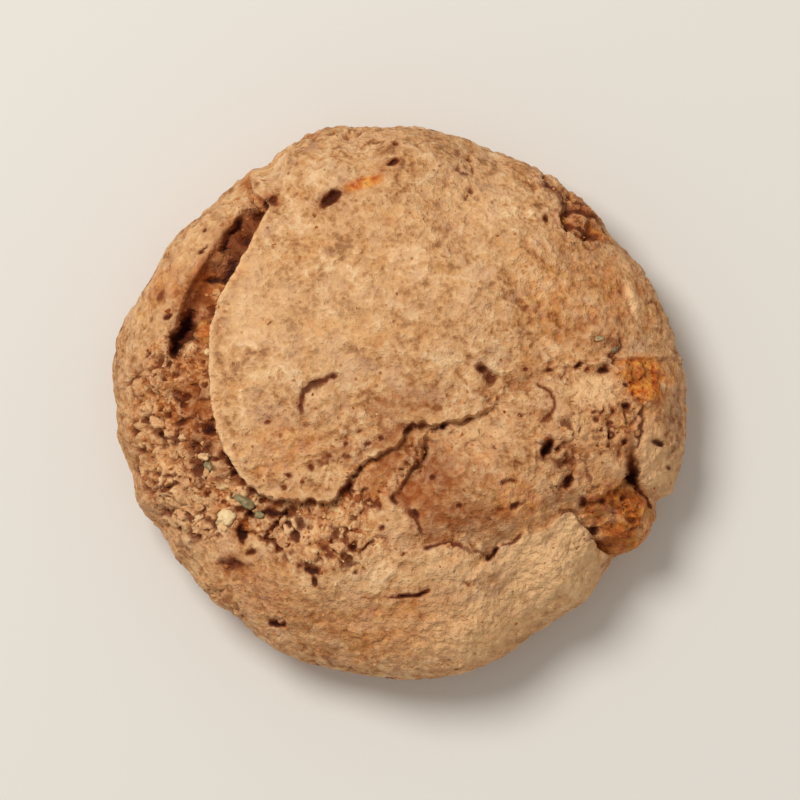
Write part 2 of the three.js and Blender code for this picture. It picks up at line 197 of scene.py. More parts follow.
# Holes: x, y, length, width, turn in degrees, depth, and how dark inside from 0 to 1, partly the
# darker baked crumb and partly painted shade.
HOLES = [
    (-16, 24, 2.6, 1.6, 35, 1.2, 1), (-17.3, 22.5, 2, 1.5, 50, 1, 0.7),
    (-10.6, -21.2, 2.6, 1.1, -10, 0.7, 0.9), (-10.3, -22.5, 0.9, 1.6, 12, 0.6, 0.8),
    (-19.8, -16.9, 1.6, 2.9, 8, 1.3, 0.95), (-12.1, -20.6, 0.8, 0.7, 0, 0.4, 0.7),
    (-19.2, 19.5, 1.7, 1.2, 50, 0.8, 0.9), (-23, 14.4, 2.2, 0.8, 10, 0.7, 0.9),
    (-8.5, 24.4, 4, 1.8, 34, 1.4, 0.8), (-7.8, 24.8, 1.8, 1, 34, 0.8, 0.7),
    (-0.9, 28.8, 1.8, 1, 20, 1, 0.8), (-0.6, 31.3, 0.9, 0.7, 0, 0.5, 0.7),
    (8, 27.5, 1.9, 0.8, 5, 0.4, 0.45), (8.7, 25.4, 0.9, 1.1, 0, 0.4, 0.45),
    (8, 24.3, 0.9, 1, 20, 0.4, 0.45), (8.4, 29.6, 1, 1, 20, 0.4, 0.5),
    (17.8, 21.8, 0.9, 1.1, 0, 0.6, 0.8), (18.2, 26.2, 2.4, 0.7, -10, 0.6, 0.9),
    (19.8, 24.4, 0.7, 1, 0, 0.5, 0.8), (24.2, 19.9, 1.3, 1, 10, 0.4, 0.5),
    (17.9, -6.5, 1.4, 2.9, -25, 2, 1), (19.2, -6.6, 0.9, 1.6, -30, 0.8, 0.5),
    (20.5, -10.5, 1.3, 2.5, -25, 1.3, 0.8), (28.6, -9.2, 1.5, 3.6, 18, 1.5, 0.7),
    (32, -5.6, 1.7, 0.9, -20, 0.9, 0.9), (33.2, -8.4, 1, 0.8, -40, 0.6, 0.6),
    (27.6, -1.2, 0.9, 1.2, 20, 0.8, 0.9), (25.7, -4.9, 1.3, 1, 30, 0.8, 0.8),
    (25.2, -6.1, 1, 0.8, 20, 0.7, 0.7), (23.8, -3.1, 0.9, 0.8, 0, 0.6, 0.7),
    (24.4, -4.2, 0.8, 0.7, 0, 0.5, 0.7), (25.6, -3.3, 0.8, 0.7, 0, 0.5, 0.7),
    (25.8, -1.9, 0.9, 1.5, 20, 0.5, 0.6), (27.4, -5.6, 0.9, 0.8, 0, 0.6, 0.8),
    (24.3, -7.1, 1, 0.7, 10, 0.4, 0.5), (26.8, -7, 1.2, 2, 0, 0.5, 0.4),
    (27.5, 1.4, 1.1, 0.7, -30, 0.6, 0.8), (25, -13, 1.4, 1, -30, 0.8, 0.7),
    (27.6, -12.4, 1.3, 0.9, 20, 0.8, 0.7), (30.4, -12.8, 1, 1.2, 0, 0.7, 0.7),
    (28.2, -14.8, 1.4, 1.1, -20, 0.8, 0.6), (24.4, -16.4, 1.2, 0.8, 30, 0.7, 0.8),
    (22.6, -12.9, 1.1, 1.6, 20, 0.7, 0.7), (10, 3.1, 1.5, 1.5, 20, 0.8, 0.8),
    (11, 1.9, 1.7, 2.7, 25, 0.6, 0.6), (15.4, 3.1, 0.9, 0.8, 0, 0.5, 0.7),
    (18.4, 3, 0.9, 0.7, 0, 0.5, 0.6), (21.9, 3.7, 1.9, 0.7, 40, 0.7, 0.9),
    (22.9, 3.1, 0.8, 0.7, 0, 0.5, 0.8), (25, 3.1, 1.9, 0.8, 12, 0.6, 0.85),
    (26, 5, 1.6, 0.8, 25, 0.5, 0.7), (14.5, -8.4, 1.8, 0.6, -15, 0.3, 0.4),
    (4, -10.2, 1, 0.9, 0, 0.5, 0.8), (1.9, -14.6, 0.8, 1.5, 40, 0.6, 0.8),
    (-0.8, -12.9, 1.5, 0.8, -40, 0.5, 0.8), (13.9, -13.6, 2, 0.9, 30, 0.6, 0.8),
    (12.2, -14, 1.4, 0.7, 10, 0.4, 0.5), (5.3, -4.1, 1.1, 0.9, 20, 0.5, 0.9),
    (11.5, -6.6, 0.6, 0.6, 0, 0.3, 0.6), (-2.4, -5.4, 1, 0.9, 0, 0.6, 0.8),
    (-3.9, -6.1, 1.2, 0.8, 20, 0.5, 0.6), (16.2, -16.9, 1, 0.8, 0, 0.4, 0.5),
    (8.3, -23.2, 1, 0.5, -30, 0.3, 0.5), (0.4, -19.4, 0.8, 0.7, 0, 0.4, 0.7),
    (-2.2, -16.3, 1, 0.7, 60, 0.4, 0.6), (-2.4, -13.6, 0.8, 0.8, 0, 0.5, 0.7),
    (-27, -3, 2.2, 1.1, 10, 1, 0.7), (-26.4, -0.5, 1.5, 2.1, 0, 1.1, 0.7),
    (-23.6, -4, 1.6, 2, -10, 1, 0.9), (-29.9, -4.5, 1.1, 0.8, 20, 0.7, 0.7),
    (-31.4, -2.6, 0.9, 1, 0, 0.6, 0.7), (-24.8, -5.6, 1, 0.8, -20, 0.7, 0.7),
    (-26.2, -10.2, 1.2, 0.8, 10, 0.7, 0.7), (-23.8, -12, 0.9, 0.8, 0, 0.6, 0.7),
    (-29, -11.4, 1, 0.8, -30, 0.6, 0.6), (-30.4, -10.4, 0.7, 0.6, 0, 0.5, 0.6),
    (-27.2, -16, 1.1, 0.8, 20, 0.6, 0.6), (-18.4, -14.5, 1, 0.9, 0, 0.9, 0.9),
    (-18.5, -19.3, 2.1, 0.8, 20, 0.8, 0.8), (-15, -19, 1, 0.8, 0, 0.6, 0.7),
    (-20.8, -20.6, 3.4, 1.4, -15, 0.6, 0.6), (-9.2, -18.6, 1.1, 0.9, 0, 0.7, 0.7),
    (-5.6, -18.4, 1.2, 1.9, -15, 1, 0.9), (-5.4, -21.5, 0.8, 0.7, 0, 0.5, 0.6),
    (-24, -24.5, 1, 0.6, 30, 0.4, 0.6), (-19.5, -26.7, 0.9, 0.6, -10, 0.4, 0.6),
    (7.3, -13.7, 1, 0.7, 0, 0.4, 0.7), (-23.7, 20.4, 0.9, 0.7, 40, 0.5, 0.7),
    (-29.7, 12.6, 1.2, 2.2, -20, 0.5, 0.5), (-28.8, 10, 1.5, 0.7, 20, 0.6, 0.8),
    (14.6, -2.6, 0.8, 0.6, 0, 0.4, 0.6), (-10.9, -9, 0.9, 1.2, 15, 0.5, 0.55),
    (-13.7, -9.9, 0.9, 0.8, 0, 0.45, 0.6), (-14.2, -11.4, 1, 0.8, 0, 0.45, 0.55),
    (-8.6, -7.6, 0.9, 0.8, 0, 0.45, 0.55), (-6.6, -6.1, 0.7, 0.8, 0, 0.5, 0.75),
    (-6.5, -7.7, 1.4, 0.9, 0, 0.45, 0.5), (-11.4, -3.9, 1, 0.8, 0, 0.3, 0.35),
    (-16.1, -3.4, 1.2, 0.6, 20, 0.3, 0.5), (-18.7, -8.2, 0.7, 0.9, 0, 0.3, 0.4),
    (0.6, -4, 1.5, 0.9, 30, 0.5, 0.8), (-8.2, 2.1, 1.7, 0.9, 10, 0.6, 0.8),
    (-11.6, 0.4, 1, 1.2, -20, 0.5, 0.7), (-10, 1.1, 2.8, 1.4, 25, 0.35, 0.45),
    (7.1, 30.3, 1.3, 0.8, -40, 0.3, 0.4), (7.1, 28, 0.9, 0.9, 0, 0.35, 0.4),
    (8.9, 28.1, 0.8, 1, 0, 0.35, 0.4),
]

# Cracks: the points they run through, then their width, depth and fray.
CRACKS = [
    ([(-11.9, -2.9), (-12.1, -1.2), (-11.6, 0.3), (-10.6, 1.2), (-9.8, 1.4)], 0.9, 0.5, 0.15),
    ([(-11, 0.9), (-10.2, 1.3), (-9.4, 1.5), (-8.4, 2), (-7.6, 2.1)], 0.9, 0.5, 0.15),
    ([(-25.5, 11.2), (-26.5, 9), (-27.4, 7.2), (-28.1, 4.7)], 1.9, 2.4, 0.2),
    ([(17.2, 26.7), (18.6, 26), (19.7, 24.4), (20.1, 22.6)], 0.8, 0.5, 0.25),
    ([(20, 21.2), (21.8, 20.7), (24.8, 20)], 0.8, 0.45, 0.25),
    ([(-24.4, 17.2), (-23.6, 18.6)], 0.6, 0.6, 0.1),
    ([(-19.8, 18.2), (-21.1, 16), (-22.3, 14)], 0.9, 0.8, 0.2),
    ([(-19, 22), (-20.6, 20.2), (-22.2, 17.6)], 0.7, 0.8, 0.2),
    ([(-18.4, -14.6), (-16, -14.2), (-13, -14.5)], 0.9, 0.9, 0.2),
    ([(-22.2, -6.6), (-21, -8.2), (-20.4, -10)], 0.8, 0.9, 0.2),
    ([(-1.6, -24.6), (0.5, -24.5), (2.2, -24.3), (3.9, -23.7)], 0.6, 0.7, 0.06),
    ([(2.8, -18.9), (4, -18.4), (5.2, -18)], 0.8, 0.6, 0.08),
    ([(4.6, -18.2), (5.8, -18), (7.6, -18.5), (9.4, -19.1), (10.9, -20)], 0.8, 0.36, 0.2),
    ([(10.7, -20.4), (11.3, -19.6), (12.2, -18.6)], 0.9, 0.8, 0.15),
    ([(12.2, -18.7), (13.4, -18.4), (14.3, -17.8), (15.1, -17)], 0.6, 0.36, 0.2),
    ([(12.2, -11.3), (12.6, -10.7), (13.3, -10.4), (14.2, -10.8)], 0.7, 0.4, 0.1),
    ([(2, -3.4), (1.1, -4.1), (0.2, -4.8)], 0.8, 0.6, 0.15),
    ([(0.8, -13.8), (1.9, -15.4), (2.9, -17.4)], 0.8, 0.4, 0.15),
    ([(-16.3, -27.6), (-15.2, -27.9), (-14, -28)], 0.9, 1.2, 0.1),
    ([(20.2, 23), (22.2, 23), (24.8, 22.2)], 1, 0.5, 0.15),
    ([(20.6, 24.6), (22, 24.4), (23.6, 23.8)], 0.7, 0.4, 0.15),
    ([(14.2, -13.8), (14.8, -13.4), (15.4, -12.6)], 0.5, 0.3, 0.1),
    ([(8.5, 10.4), (9.2, 11.8), (10.6, 13), (12, 13.8)], 0.6, 0.15, 0.1),
    ([(19.5, 12.4), (20.5, 10.8)], 0.5, 0.15, 0.1),
    ([(23, -6.5), (22.4, -8.4), (23.2, -10.4), (24.6, -11.4)], 0.7, 0.3, 0.25),
    ([(16.4, 1.6), (17.8, 0.6), (18.6, -1.2), (18.2, -3.4)], 0.5, 0.4, 0.25),
    ([(29.4, -2.4), (29.8, -4.6), (29.2, -6.6)], 0.6, 0.4, 0.25),
    ([(30.8, -13.4), (30.2, -12.6), (29.7, -11.2)], 0.8, 0.6, 0.2),
]

# Where the crust is missing and the crumb lies bare: x, y, length, width, turn, and how bare.
BARE_PATCHES = [
    (-28, -4, 11, 27, 3, 1), (-25, 10, 6, 10, -20, 0.8), (-15, -16, 15, 6.5, -4, 1),
    (-24, -14, 9, 11, -25, 0.75), (-4, -11, 13, 5, 50, 1), (-7, -18.5, 13, 7, 5, 0.9),
    (26, -4.5, 15, 14, 0, 0.75), (27.6, -13.4, 9, 11, -20, 1), (20, -9.5, 5, 8, -20, 0.6),
    (29, 1.5, 7, 6, 0, 0.8), (22.5, 22.6, 7, 8, 0, 0.9), (12.5, 0.5, 7, 4, 35, 0.45),
    (21, 3.2, 13, 2.6, 8, 0.6), (-26.5, 14.5, 5, 12, -32, 0.35), (-20.5, -22.5, 8, 5, -30, 0.4),
    (8, 27.4, 5, 7, -10, 0.3), (17, 27.6, 9, 4, -30, 0.6), (17.6, -5.6, 6, 9, 0, 0.45),
    (-5.5, -6.5, 15, 6, 40, 0.5), (-13, -9.5, 11, 6, 0, 0.35), (-9, -2, 9, 7, 0, 0.25),
    (13, -5, 8, 6, 0, 0.35), (7, 24, 12, 10, 0, 0.22), (-20, 22, 5, 5, 50, 0.6),
    (-28.5, 12, 4, 9, -30, 0.4), (3, 10, 16, 9, 0, 0.16), (0, -24, 18, 4, 5, 0.25),
    (26, 6.6, 4.6, 2.2, -12, 0.6), (0, -28, 34, 7, 0, 0.3), (8.8, -11, 16, 13, -15, 0.25),
    (-17, -24, 14, 8, -35, 0.35), (19, -22, 12, 9, 40, 0.2), (-24.5, 18, 3.5, 12, -38, 0.25),
    (16, 0, 10, 5, 20, 0.4), (-5, 21, 16, 8, 0, 0.14),
]

# Where crust is left whole among the crumb: x, y, length, width, turn, and how whole.
WHOLE_PATCHES = [
    (25, -8.9, 6.4, 4.6, 10, 0.85), (31.7, -7.6, 4, 9.5, 12, 0.8), (-31.8, -3, 3.4, 18, 4, 0.15),
    (-30.4, 11, 4, 9, -25, 0.8), (-24.5, 18.6, 3.6, 9, -38, 0.8), (21.5, 1.4, 8, 2.4, 10, 0.5),
    (-8, -23.2, 12, 4.6, -4, 0.7), (-1.2, -16.2, 3, 4, 0, 0.5), (24, 0, 4, 3, 10, 0.5),
    (-3, -20.4, 5, 3, 0, 0.7), (-1.4, -7.8, 9, 3.4, 50, 0.55),
]

# Deep ground that lies in shade, painted dark red-brown as painted shade: x, y, length, width,
# turn, and how dark.
SHADE_PATCHES = [
    (-19.4, 20.4, 3, 8, -35, 0.46), (-22.6, 15.6, 3.4, 6, -35, 0.33),
    (-25.2, 12, 3.2, 6, -25, 0.36), (-26.7, 8, 2.4, 6.6, -20, 0.5), (-16.6, 24, 2.4, 2, 30, 0.3),
    (-25.4, -1.4, 4.6, 9, 0, 0.18), (-24.4, -6.6, 3.6, 4, 10, 0.42), (28.6, -9.2, 2, 4.4, 18, 0.42),
    (30.2, -12.8, 1.6, 1.4, 0, 0.12), (-13, -13.6, 7, 1, 0, 0.25), (-21.4, -9.2, 1.6, 5, 20, 0.2),
    (-21.2, -20.6, 3.6, 1.8, -15, 0.42), (26.4, -17.4, 1.4, 2.4, -30, 0.3),
    (27.6, -16.2, 2.4, 4, -20, 0.2), (28.3, -6, 1.6, 4, 10, 0.22), (26, 6.6, 3.4, 1.4, -12, 0.3),
    (24.6, -13.6, 2, 3, -20, 0.3), (2.4, -7.6, 2, 6, -20, 0.3), (0.4, -13, 2, 4, 30, 0.22),
    (7.5, -15.6, 8, 2, -8, 0.18), (5, -9.4, 5, 6, -20, 0.2), (-14.4, -14.4, 5, 1.4, 6, 0.3),
]

# Red-brown toasting, in places painted shade; orange stains; pale dust, in places painted light and
# highlights: x, y, length, width, turn, and strength.
TOASTED_AND_SHADED = [
    (27, -13.4, 9, 5, -20, 0.45), (27, -16.8, 4, 6, -30, 0.7), (-21, 18.6, 4, 12, -38, 1),
    (-25.6, 11.2, 4, 10, -25, 1), (-25.6, -2, 5, 9, 0, 0.75), (-16.4, 24, 2.4, 2.6, 0, 0.9),
    (-12, -13.4, 9, 1.6, 0, 0.6), (-29.7, 12.5, 2, 4, -20, 0.6), (-30, 3, 4, 4, 0, 0.4),
    (-20.8, -20.4, 5, 3, -15, 0.7), (29, -9, 3, 6, 18, 1), (19.2, -7, 3.4, 5, -20, 0.5),
    (-2, 27.6, 3, 1.6, 30, 0.6), (28.4, 2.8, 4, 3, 0, 0.5), (-20, -16.6, 3.4, 3.4, 0, 1),
    (4, -12.6, 9, 10, -20, 0.9), (9, -14.8, 10, 4, -10, 0.9), (2, -13, 4.6, 7, 0, 1),
    (9, -10.2, 6, 5, 0, 0.6), (0.6, -11.2, 3, 5, -30, 0.4), (-7, -12.4, 6, 2.4, 40, 0.4),
    (1.2, -20.9, 2, 2.2, 0, 0.35), (-18.7, 26, 1.6, 3, 15, 0.7), (-15, -24, 12, 5, -30, 0.2),
    (0.6, -1.2, 9, 3.6, 5, 0.5), (-2, -5.4, 6, 2.6, 35, 0.7), (-1, -8, 10, 3.8, 52, 0.65),
    (6, -0.8, 4, 2, 0, 0.25), (27.4, 13.4, 5, 8, 0, 0.2), (21, -10.4, 3, 4, -20, 0.4),
    (22.6, 22.6, 6, 7, 0, 0.8), (24, 7.8, 10, 4.6, -8, 0.4), (2.4, -0.6, 8, 4, 5, 0.3),
    (-25, -12, 5, 5, 0, 0.3), (-24.4, -6.4, 5, 4, 0, 0.5), (-32, -3, 4, 18, 0, 0.12),
    (-29, 14, 4, 8, -30, 0.2), (4.6, -8.4, 5, 6, 0, 0.5), (0.4, -2, 4, 2.4, 20, 0.3),
]
STAINED = [
    (30, 2.4, 7, 5.6, 0, 1), (29, 4.2, 5, 1.6, 5, 1), (31, 0.6, 4, 3.6, -30, 1),
    (-4.4, 26.2, 4.6, 1.5, 18, 1), (-24.6, 8.4, 2, 2.6, 0, 0.8), (24.8, 20.4, 3, 1.6, -20, 0.9),
    (22.6, 22.6, 6, 6, 0, 0.4), (-19.6, -16.4, 2.4, 1.6, 30, 0.6), (-22.8, -14.6, 2.2, 2, 0, 0.4),
    (-26.2, -10.5, 2, 1.6, 0, 0.5), (12, -11, 4, 3, 0, 0.3), (-2.6, -12.4, 2, 3, 0, 0.35),
    (10.2, -8, 2.4, 2, 0, 0.3), (3.6, -11.8, 1.8, 1.4, 0, 0.4), (-13, -6.5, 6, 4, 10, 0.3),
    (-2, 17, 5, 4, 0, 0.12), (-19, 27, 1.4, 3, 15, 0.4), (22, 12, 17, 17, 0, 0.2),
    (1, -28.5, 34, 7, 0, 0.28), (29, -3, 8, 13, 0, 0.36), (27.8, -13.6, 8, 7, -25, 1),
    (27.8, -16.2, 6, 7.4, -30, 1), (25, -13.8, 5, 4, -30, 0.7), (-22, 16, 4, 9, -38, 0.95),
    (-19, 20.6, 3.4, 6, -38, 0.6), (-25.4, 11.4, 3, 6, -25, 0.5), (-16.4, 24, 2.6, 2.6, 0, 0.6),
    (26, -5, 11, 12, 0, 0.25), (-16, -24, 14, 7, -30, 0.15), (-16, -7, 9, 7, 0, 0.25),
    (14.5, -13, 6, 6, 0, 0.5), (2, -13, 5, 5, 0, 0.3), (18, 12, 8, 8, 0, 0.3),
    (27.4, 14, 5, 9, 0, 0.4), (-28, -1, 8, 16, 0, 0.15), (-1.4, -7.8, 10, 3.2, 50, 0.3),
    (-29, 14, 4, 8, -30, 0.35), (30, 14, 8, 16, 10, 0.2),
]
# Pale dust, and in places painted light: brightening on the lower right's slopes and the front
# plate, which turn away from the key light, and a painted highlight along the right rim's ridge.
DUSTED_AND_LIT = [
    (-29, -6, 3, 5, 0, 0.4), (-28, -12.6, 4, 8, 0, 0.45), (-24, -17, 5, 5, 0, 0.35),
    (22.4, -22, 5.6, 6.4, 42, 0.9), (-6.5, -15.5, 4, 2.4, 20, 0.4),
    (-12.4, -16.4, 5.4, 2.8, 0, 0.6), (20.6, -16.6, 5, 4, -35, 1), (18.4, -20.8, 12.4, 9, 35, 0.95),
    (21.8, -20.2, 6, 7, 45, 0.6), (6, -21.5, 12, 4, 0, 0.35), (-8, -23.5, 11, 5, -5, 0.2),
    (-1, -28, 10, 1.4, 2, 0.4), (10, -28, 16, 7, 15, 0.75), (10, -25.8, 8, 1.2, 12, 0.5),
    (-24.6, 19, 4, 12, -38, 0.25), (-24, -8, 2.4, 1.6, 0, 0.4), (24.5, 6, 3, 1, 20, 0.3),
    (29.1, 12.5, 1.1, 6.4, 12, 1), (28.4, 17, 2, 3, 20, 0.5), (0, 14, 26, 20, 0, 0.15),
    (0, 20.4, 8, 7, 0, 0.25), (-17, 12, 10, 12, 0, 0.45), (-19, 3, 8, 14, 0, 0.2),
    (-8, 8, 12, 10, 0, 0.35), (-10.4, 0.2, 2.4, 2.4, 0, 0.6), (6, -19.4, 8, 1.6, -8, 0.35),
    (-22, 17, 3, 1.6, 50, 0.35), (10.4, -5.4, 7, 3, -10, 0.45), (0, -15.6, 3, 4, 0, 0.4),
    (24, 0.2, 6, 4, 10, 0.95), (22, -4, 6, 4, 0, 0.45), (31.6, -8, 5, 11, 12, 0.7),
    (25, -8.8, 6, 4, 10, 0.3), (-3, -20.4, 6, 3.6, 0, 0.15), (10, 25, 9, 7, 0, 0.3),
    (31, -3.4, 4, 4, 0, 0.1), (-31, -2, 2, 4, 0, 0.35), (26, -14.6, 2, 1.8, 0, 0.4),
    (30, -15.4, 0.9, 4, -22, 0.45),
]

# --------------------------------------------------------------------------- arrays and noise


def smoothstep(x, low, high):
    """0 below low and 1 above high, and between them the cubic that leaves both level."""
    share = np.clip((x - low) / (high - low), 0, 1)
    return share * share * (3 - 2 * share)


def mix(a, b, share):
    """a where the share is 0, b where it is 1, and in a straight line between."""
    return a + (b - a) * share


def unit(vectors):
    """Vectors scaled to a length of 1."""
    return vectors / np.linalg.norm(vectors, axis=-1, keepdims=True)


def facing(angle):
    """Unit vectors in plan, by their angles."""
    return np.stack([np.cos(angle), np.sin(angle)], 1)


def random_at(x, y, z, salt):
    """A number from 0 to 1 for each whole-number place: its coordinates times large odd numbers,
    added, and their bits folded over each other twice."""
    bits = 0xFFFFFFFF
    h = (x * 374761393 + y * 668265263 + z * 2147483647 + salt * 1274126177) & bits
    h = ((h ^ (h >> 13)) * 1274126177) & bits
    h = ((h ^ (h >> 15)) * 668265263) & bits
    return (h ^ (h >> 16)) / 4294967296.0


def cubes_about(place, steps):
    """For points in a space of unit cubes: every mix of three steps, and the whole-number place
    that lies so many cubes from each point's own cube, as columns."""
    cube = np.floor(place).astype(np.int64)
    for step in itertools.product(steps, repeat=3):
        yield step, [cube[:, axis] + step[axis] for axis in range(3)]


def noise(points, size, salt):
    """Gradient noise of about -1 to 1: each corner of a grid of cubes has a random slope, and a
    point takes the heights of the eight slopes around it, blended by a quintic. The size is the
    cubes' in millimetres, and the salt picks one such noise out of many."""
    place = points / size
    inside = place - np.floor(place)
    ease = inside**3 * (inside * (inside * 6 - 15) + 10)
    total = np.zeros(len(points))
    for step, corner in cubes_about(place, (0, 1)):
        rise = sum(
            (2 * random_at(*corner, salt + 7 * axis) - 1) * (inside[:, axis] - step[axis])
            for axis in range(3)
        )
        weight = 1
        for axis in range(3):
            weight = weight * (ease[:, axis] if step[axis] else 1 - ease[:, axis])
        total += rise * weight
    return total * 1.6


def fractal(points, size, octaves, salt):
    """Noise summed over octaves, each half as large in size and half as high."""
    return sum(0.5**k * noise(points, size / 2**k, salt + 31 * k) for k in range(octaves))


def stirring(points, size, salt):
    """Three noises side by side, by which places are pushed about."""
    return np.column_stack([noise(points, size, salt + k) for k in range(3)])


def noise_1d(along, size, salt):
    """Noise along a line."""
    points = np.zeros((len(along), 3))
    points[:, 0] = along
    points[:, 1] = 0.37 * size
    return noise(points, size, salt)


def pits(points, size, share, radii, salt):
    """How deep a point lies in scattered round pits, 0 to 1. Space is cut into cubes, a share of
    them hold one ball at a random place, and a ball is 1 at its centre and 0 at its edge."""
    place = points / size
    deepest = np.zeros(len(points))
    for _, cube in cubes_about(place, (-1, 0, 1)):
        gap = sum(
            (place[:, axis] - (cube[axis] + random_at(*cube, salt + 11 * axis))) ** 2
            for axis in range(3)
        )
        here = random_at(*cube, salt + 53) < share
        radius = mix(*radii, random_at(*cube, salt + 67) ** 1.5) / size
        depth = 1 - smoothstep(np.sqrt(gap) / radius, 0.35, 1)
        deepest = np.maximum(deepest, np.where(here, depth, 0))
    return deepest


def chunks(points, size, salt):
    """Ground broken into uneven lumps, each the part of space nearest to one random centre. At
    each point: the height of its lump's own tilted plane, about -1 to 1; the nearness of the gap
    between two lumps, 0 to 1; and its lump's own random number."""
    place = points / size
    first = np.full(len(points), FAR)
    second, height, number = first.copy(), np.zeros(len(points)), np.zeros(len(points))
    for _, cube in cubes_about(place, (-1, 0, 1)):
        offsets = [
            place[:, axis] - cube[axis] - random_at(*cube, salt + 11 * axis) for axis in range(3)
        ]
        tilted = sum(
            (2 * random_at(*cube, salt + 23 + 7 * axis) - 1) * offsets[axis] for axis in range(3)
        )
        gap = np.sqrt(sum(offset**2 for offset in offsets))
        closer = gap < first
        second = np.where(closer, first, np.minimum(second, gap))
        first = np.where(closer, gap, first)
        level = 1.4 * tilted + random_at(*cube, salt + 61) - 0.5
        height = np.where(closer, level, height)
        number = np.where(closer, random_at(*cube, salt + 73), number)
    return height, 1 - smoothstep(second - first, 0, 0.3), number


def bell(distance, width):
    """1 where the distance is 0, falling away on both sides: e to the minus square of the
    distance over the width."""
    return np.exp(-((distance / width) ** 2))


def turned(x, y, degrees):
    """Places along and across an axis that is turned by an angle."""
    turn = math.radians(degrees)
    along = x * math.cos(turn) + y * math.sin(turn)
    across = y * math.cos(turn) - x * math.sin(turn)
    return along, across


def oval_reach(plan, x, y, length, width, turn):
    """Distance from an oval's centre as a share of the way to its edge."""
    along, across = turned(plan[:, 0] - x, plan[:, 1] - y, turn)
    return np.hypot(along / (length / 2), across / (width / 2))


def patch_mask(plan, patches, wobble):
    """The strongest of several ovals at each point, with edges that wander by the wobble."""
    strongest = np.zeros(len(plan))
    for *oval, strength in patches:
        reach = oval_reach(plan, *oval) + wobble
        strongest = np.maximum(strongest, strength * (1 - smoothstep(reach, *PATCH_EDGE)))
    return strongest


def catmull_rom(points, samples):
    """Points along the cubic curve through given points, whose slope at each of them is half of
    the step from the one before to the one after."""
    padded = np.concatenate([points[:1], points, points[-1:]])
    t = np.linspace(0, len(points) - 1, samples)
    i = np.minimum(t.astype(int), len(points) - 2)
    f = (t - i)[:, None]
    p0, p1, p2, p3 = (padded[i + k] for k in range(4))
    return 0.5 * (
        2 * p1
        + (p2 - p0) * f
        + (2 * p0 - 5 * p1 + 4 * p2 - p3) * f**2
        + (3 * p1 - p0 - 3 * p2 + p3) * f**3
    )


class Line:
    """A line in plan, drawn smoothly through a few points and then frayed sideways by noise.
    Each row is x, y and any sizes that are carried along, and fray is one of them or a number."""

    SPACING = 0.3  # between the line's points, in millimetres
    PAIRS = 3_000_000  # most pairs of a place and a stretch of line that are compared at once

    def __init__(self, rows, salt, fray_column=None, fray=0.0):
        rows = np.array(rows, float)
        length = np.hypot(*np.diff(rows[:, :2], axis=0).T).sum()
        line = catmull_rom(rows, max(int(length / self.SPACING), 2) + 1)
        points, self.sizes = line[:, :2], line[:, 2:]
        along = np.concatenate([[0], np.cumsum(np.hypot(*np.diff(points, axis=0).T))])
        if fray_column is not None:
            fray = self.sizes[:, fray_column]
        shift = 0.8 * noise_1d(along, 2.4, salt) + 1.1 * noise_1d(along, 0.9, salt + 5)
        self.points = points + self.normals_of(points) * (fray * shift)[:, None]
        self.normals = self.normals_of(self.points)

    @staticmethod
    def normals_of(points):
        """Unit vectors to the left of a line at each of its points."""
        run = np.gradient(points, axis=0)
        return unit(np.stack([-run[:, 1], run[:, 0]], axis=1))

    def nearest(self, plan, within):
        """For each plan point: its distance from the line, 1 or -1 for left or right of it, the
        place along the line and the sizes there, and the line's nearest point."""
        start, run = self.points[:-1], np.diff(self.points, axis=0)
        square = (run**2).sum(1)
        distance = np.full(len(plan), FAR)
        side = np.ones(len(plan))
        along = np.zeros(len(plan))
        foot = plan.copy()
        low, high = self.points.min(0) - within, self.points.max(0) + within
        near = np.flatnonzero(((plan > low) & (plan < high)).all(1))
        if len(near):
            for part in np.array_split(near, len(near) * len(run) // self.PAIRS + 1):
                offset = plan[part, None] - start
                share = np.clip((offset * run).sum(-1) / square, 0, 1)
                gap = offset - share[..., None] * run
                best = (gap**2).sum(-1).argmin(1)
                row = np.arange(len(part))
                gap, share = gap[row, best], share[row, best]
                left = mix(self.normals[best], self.normals[best + 1], share[:, None])
                distance[part] = np.hypot(gap[:, 0], gap[:, 1])
                side[part] = np.where((gap * left).sum(1) >= 0, 1, -1)
                along[part] = best + share
                foot[part] = plan[part] - gap
        low_row = np.minimum(along.astype(int), len(run) - 1)
        sizes = mix(self.sizes[low_row], self.sizes[low_row + 1], (along - low_row)[:, None])
        return distance, side, along / len(run), sizes, foot


# --------------------------------------------------------------------------- the smooth body


class Body:
    """The smooth cookie under its relief: a section turned about the upright axis and stretched
    by the outline."""

    def __init__(self, radius, height):
        curve = catmull_rom(np.array(SECTION, float), SECTION_SAMPLES) * (radius, height)
        step = np.hypot(*np.diff(curve, axis=0).T)
        self.r, self.z = curve.T
        self.share = np.concatenate([[0], np.cumsum(step)]) / step.sum()
        self.length = step.sum()
        self.slope = unit(np.gradient(curve, self.share * self.length, axis=0))
        lower = slice(SECTION_SAMPLES // 2, None)
        self.foot = float(np.interp(0, -self.z[lower], self.share[lower]))

    def outline(self, angle, share=0.0):
        """The outline's radius at an angle, as a multiple of the mean radius. The lobes fade from
        the waist to the foot."""
        waves = sum(
            height * np.cos(count * (angle - math.radians(turn)))
            for count, height, turn in OUTLINE_WAVES
        )
        lobes = 0
        for turn, width, height in OUTLINE_LOBES:
            away = np.sin((angle - math.radians(turn)) / 2) * 2
            lobes = lobes + height * bell(away, math.radians(width))
        return 1 + waves + lobes * (1 - LOBE_FADE * smoothstep(share, WAIST, 1))

    def at(self, share):
        """Radius, height, and the section's outward normal at a share of its length."""
        r, z = np.interp(share, self.share, self.r), np.interp(share, self.share, self.z)
        dr = np.interp(share, self.share, self.slope[:, 0])
        dz = np.interp(share, self.share, self.slope[:, 1])
        return r, z, -dz, dr

    def share_at_radius(self, radius):
        """The share of the section's length at which the crown has a radius."""
        crown = self.share <= WAIST
        return np.interp(radius, self.r[crown], self.share[crown])


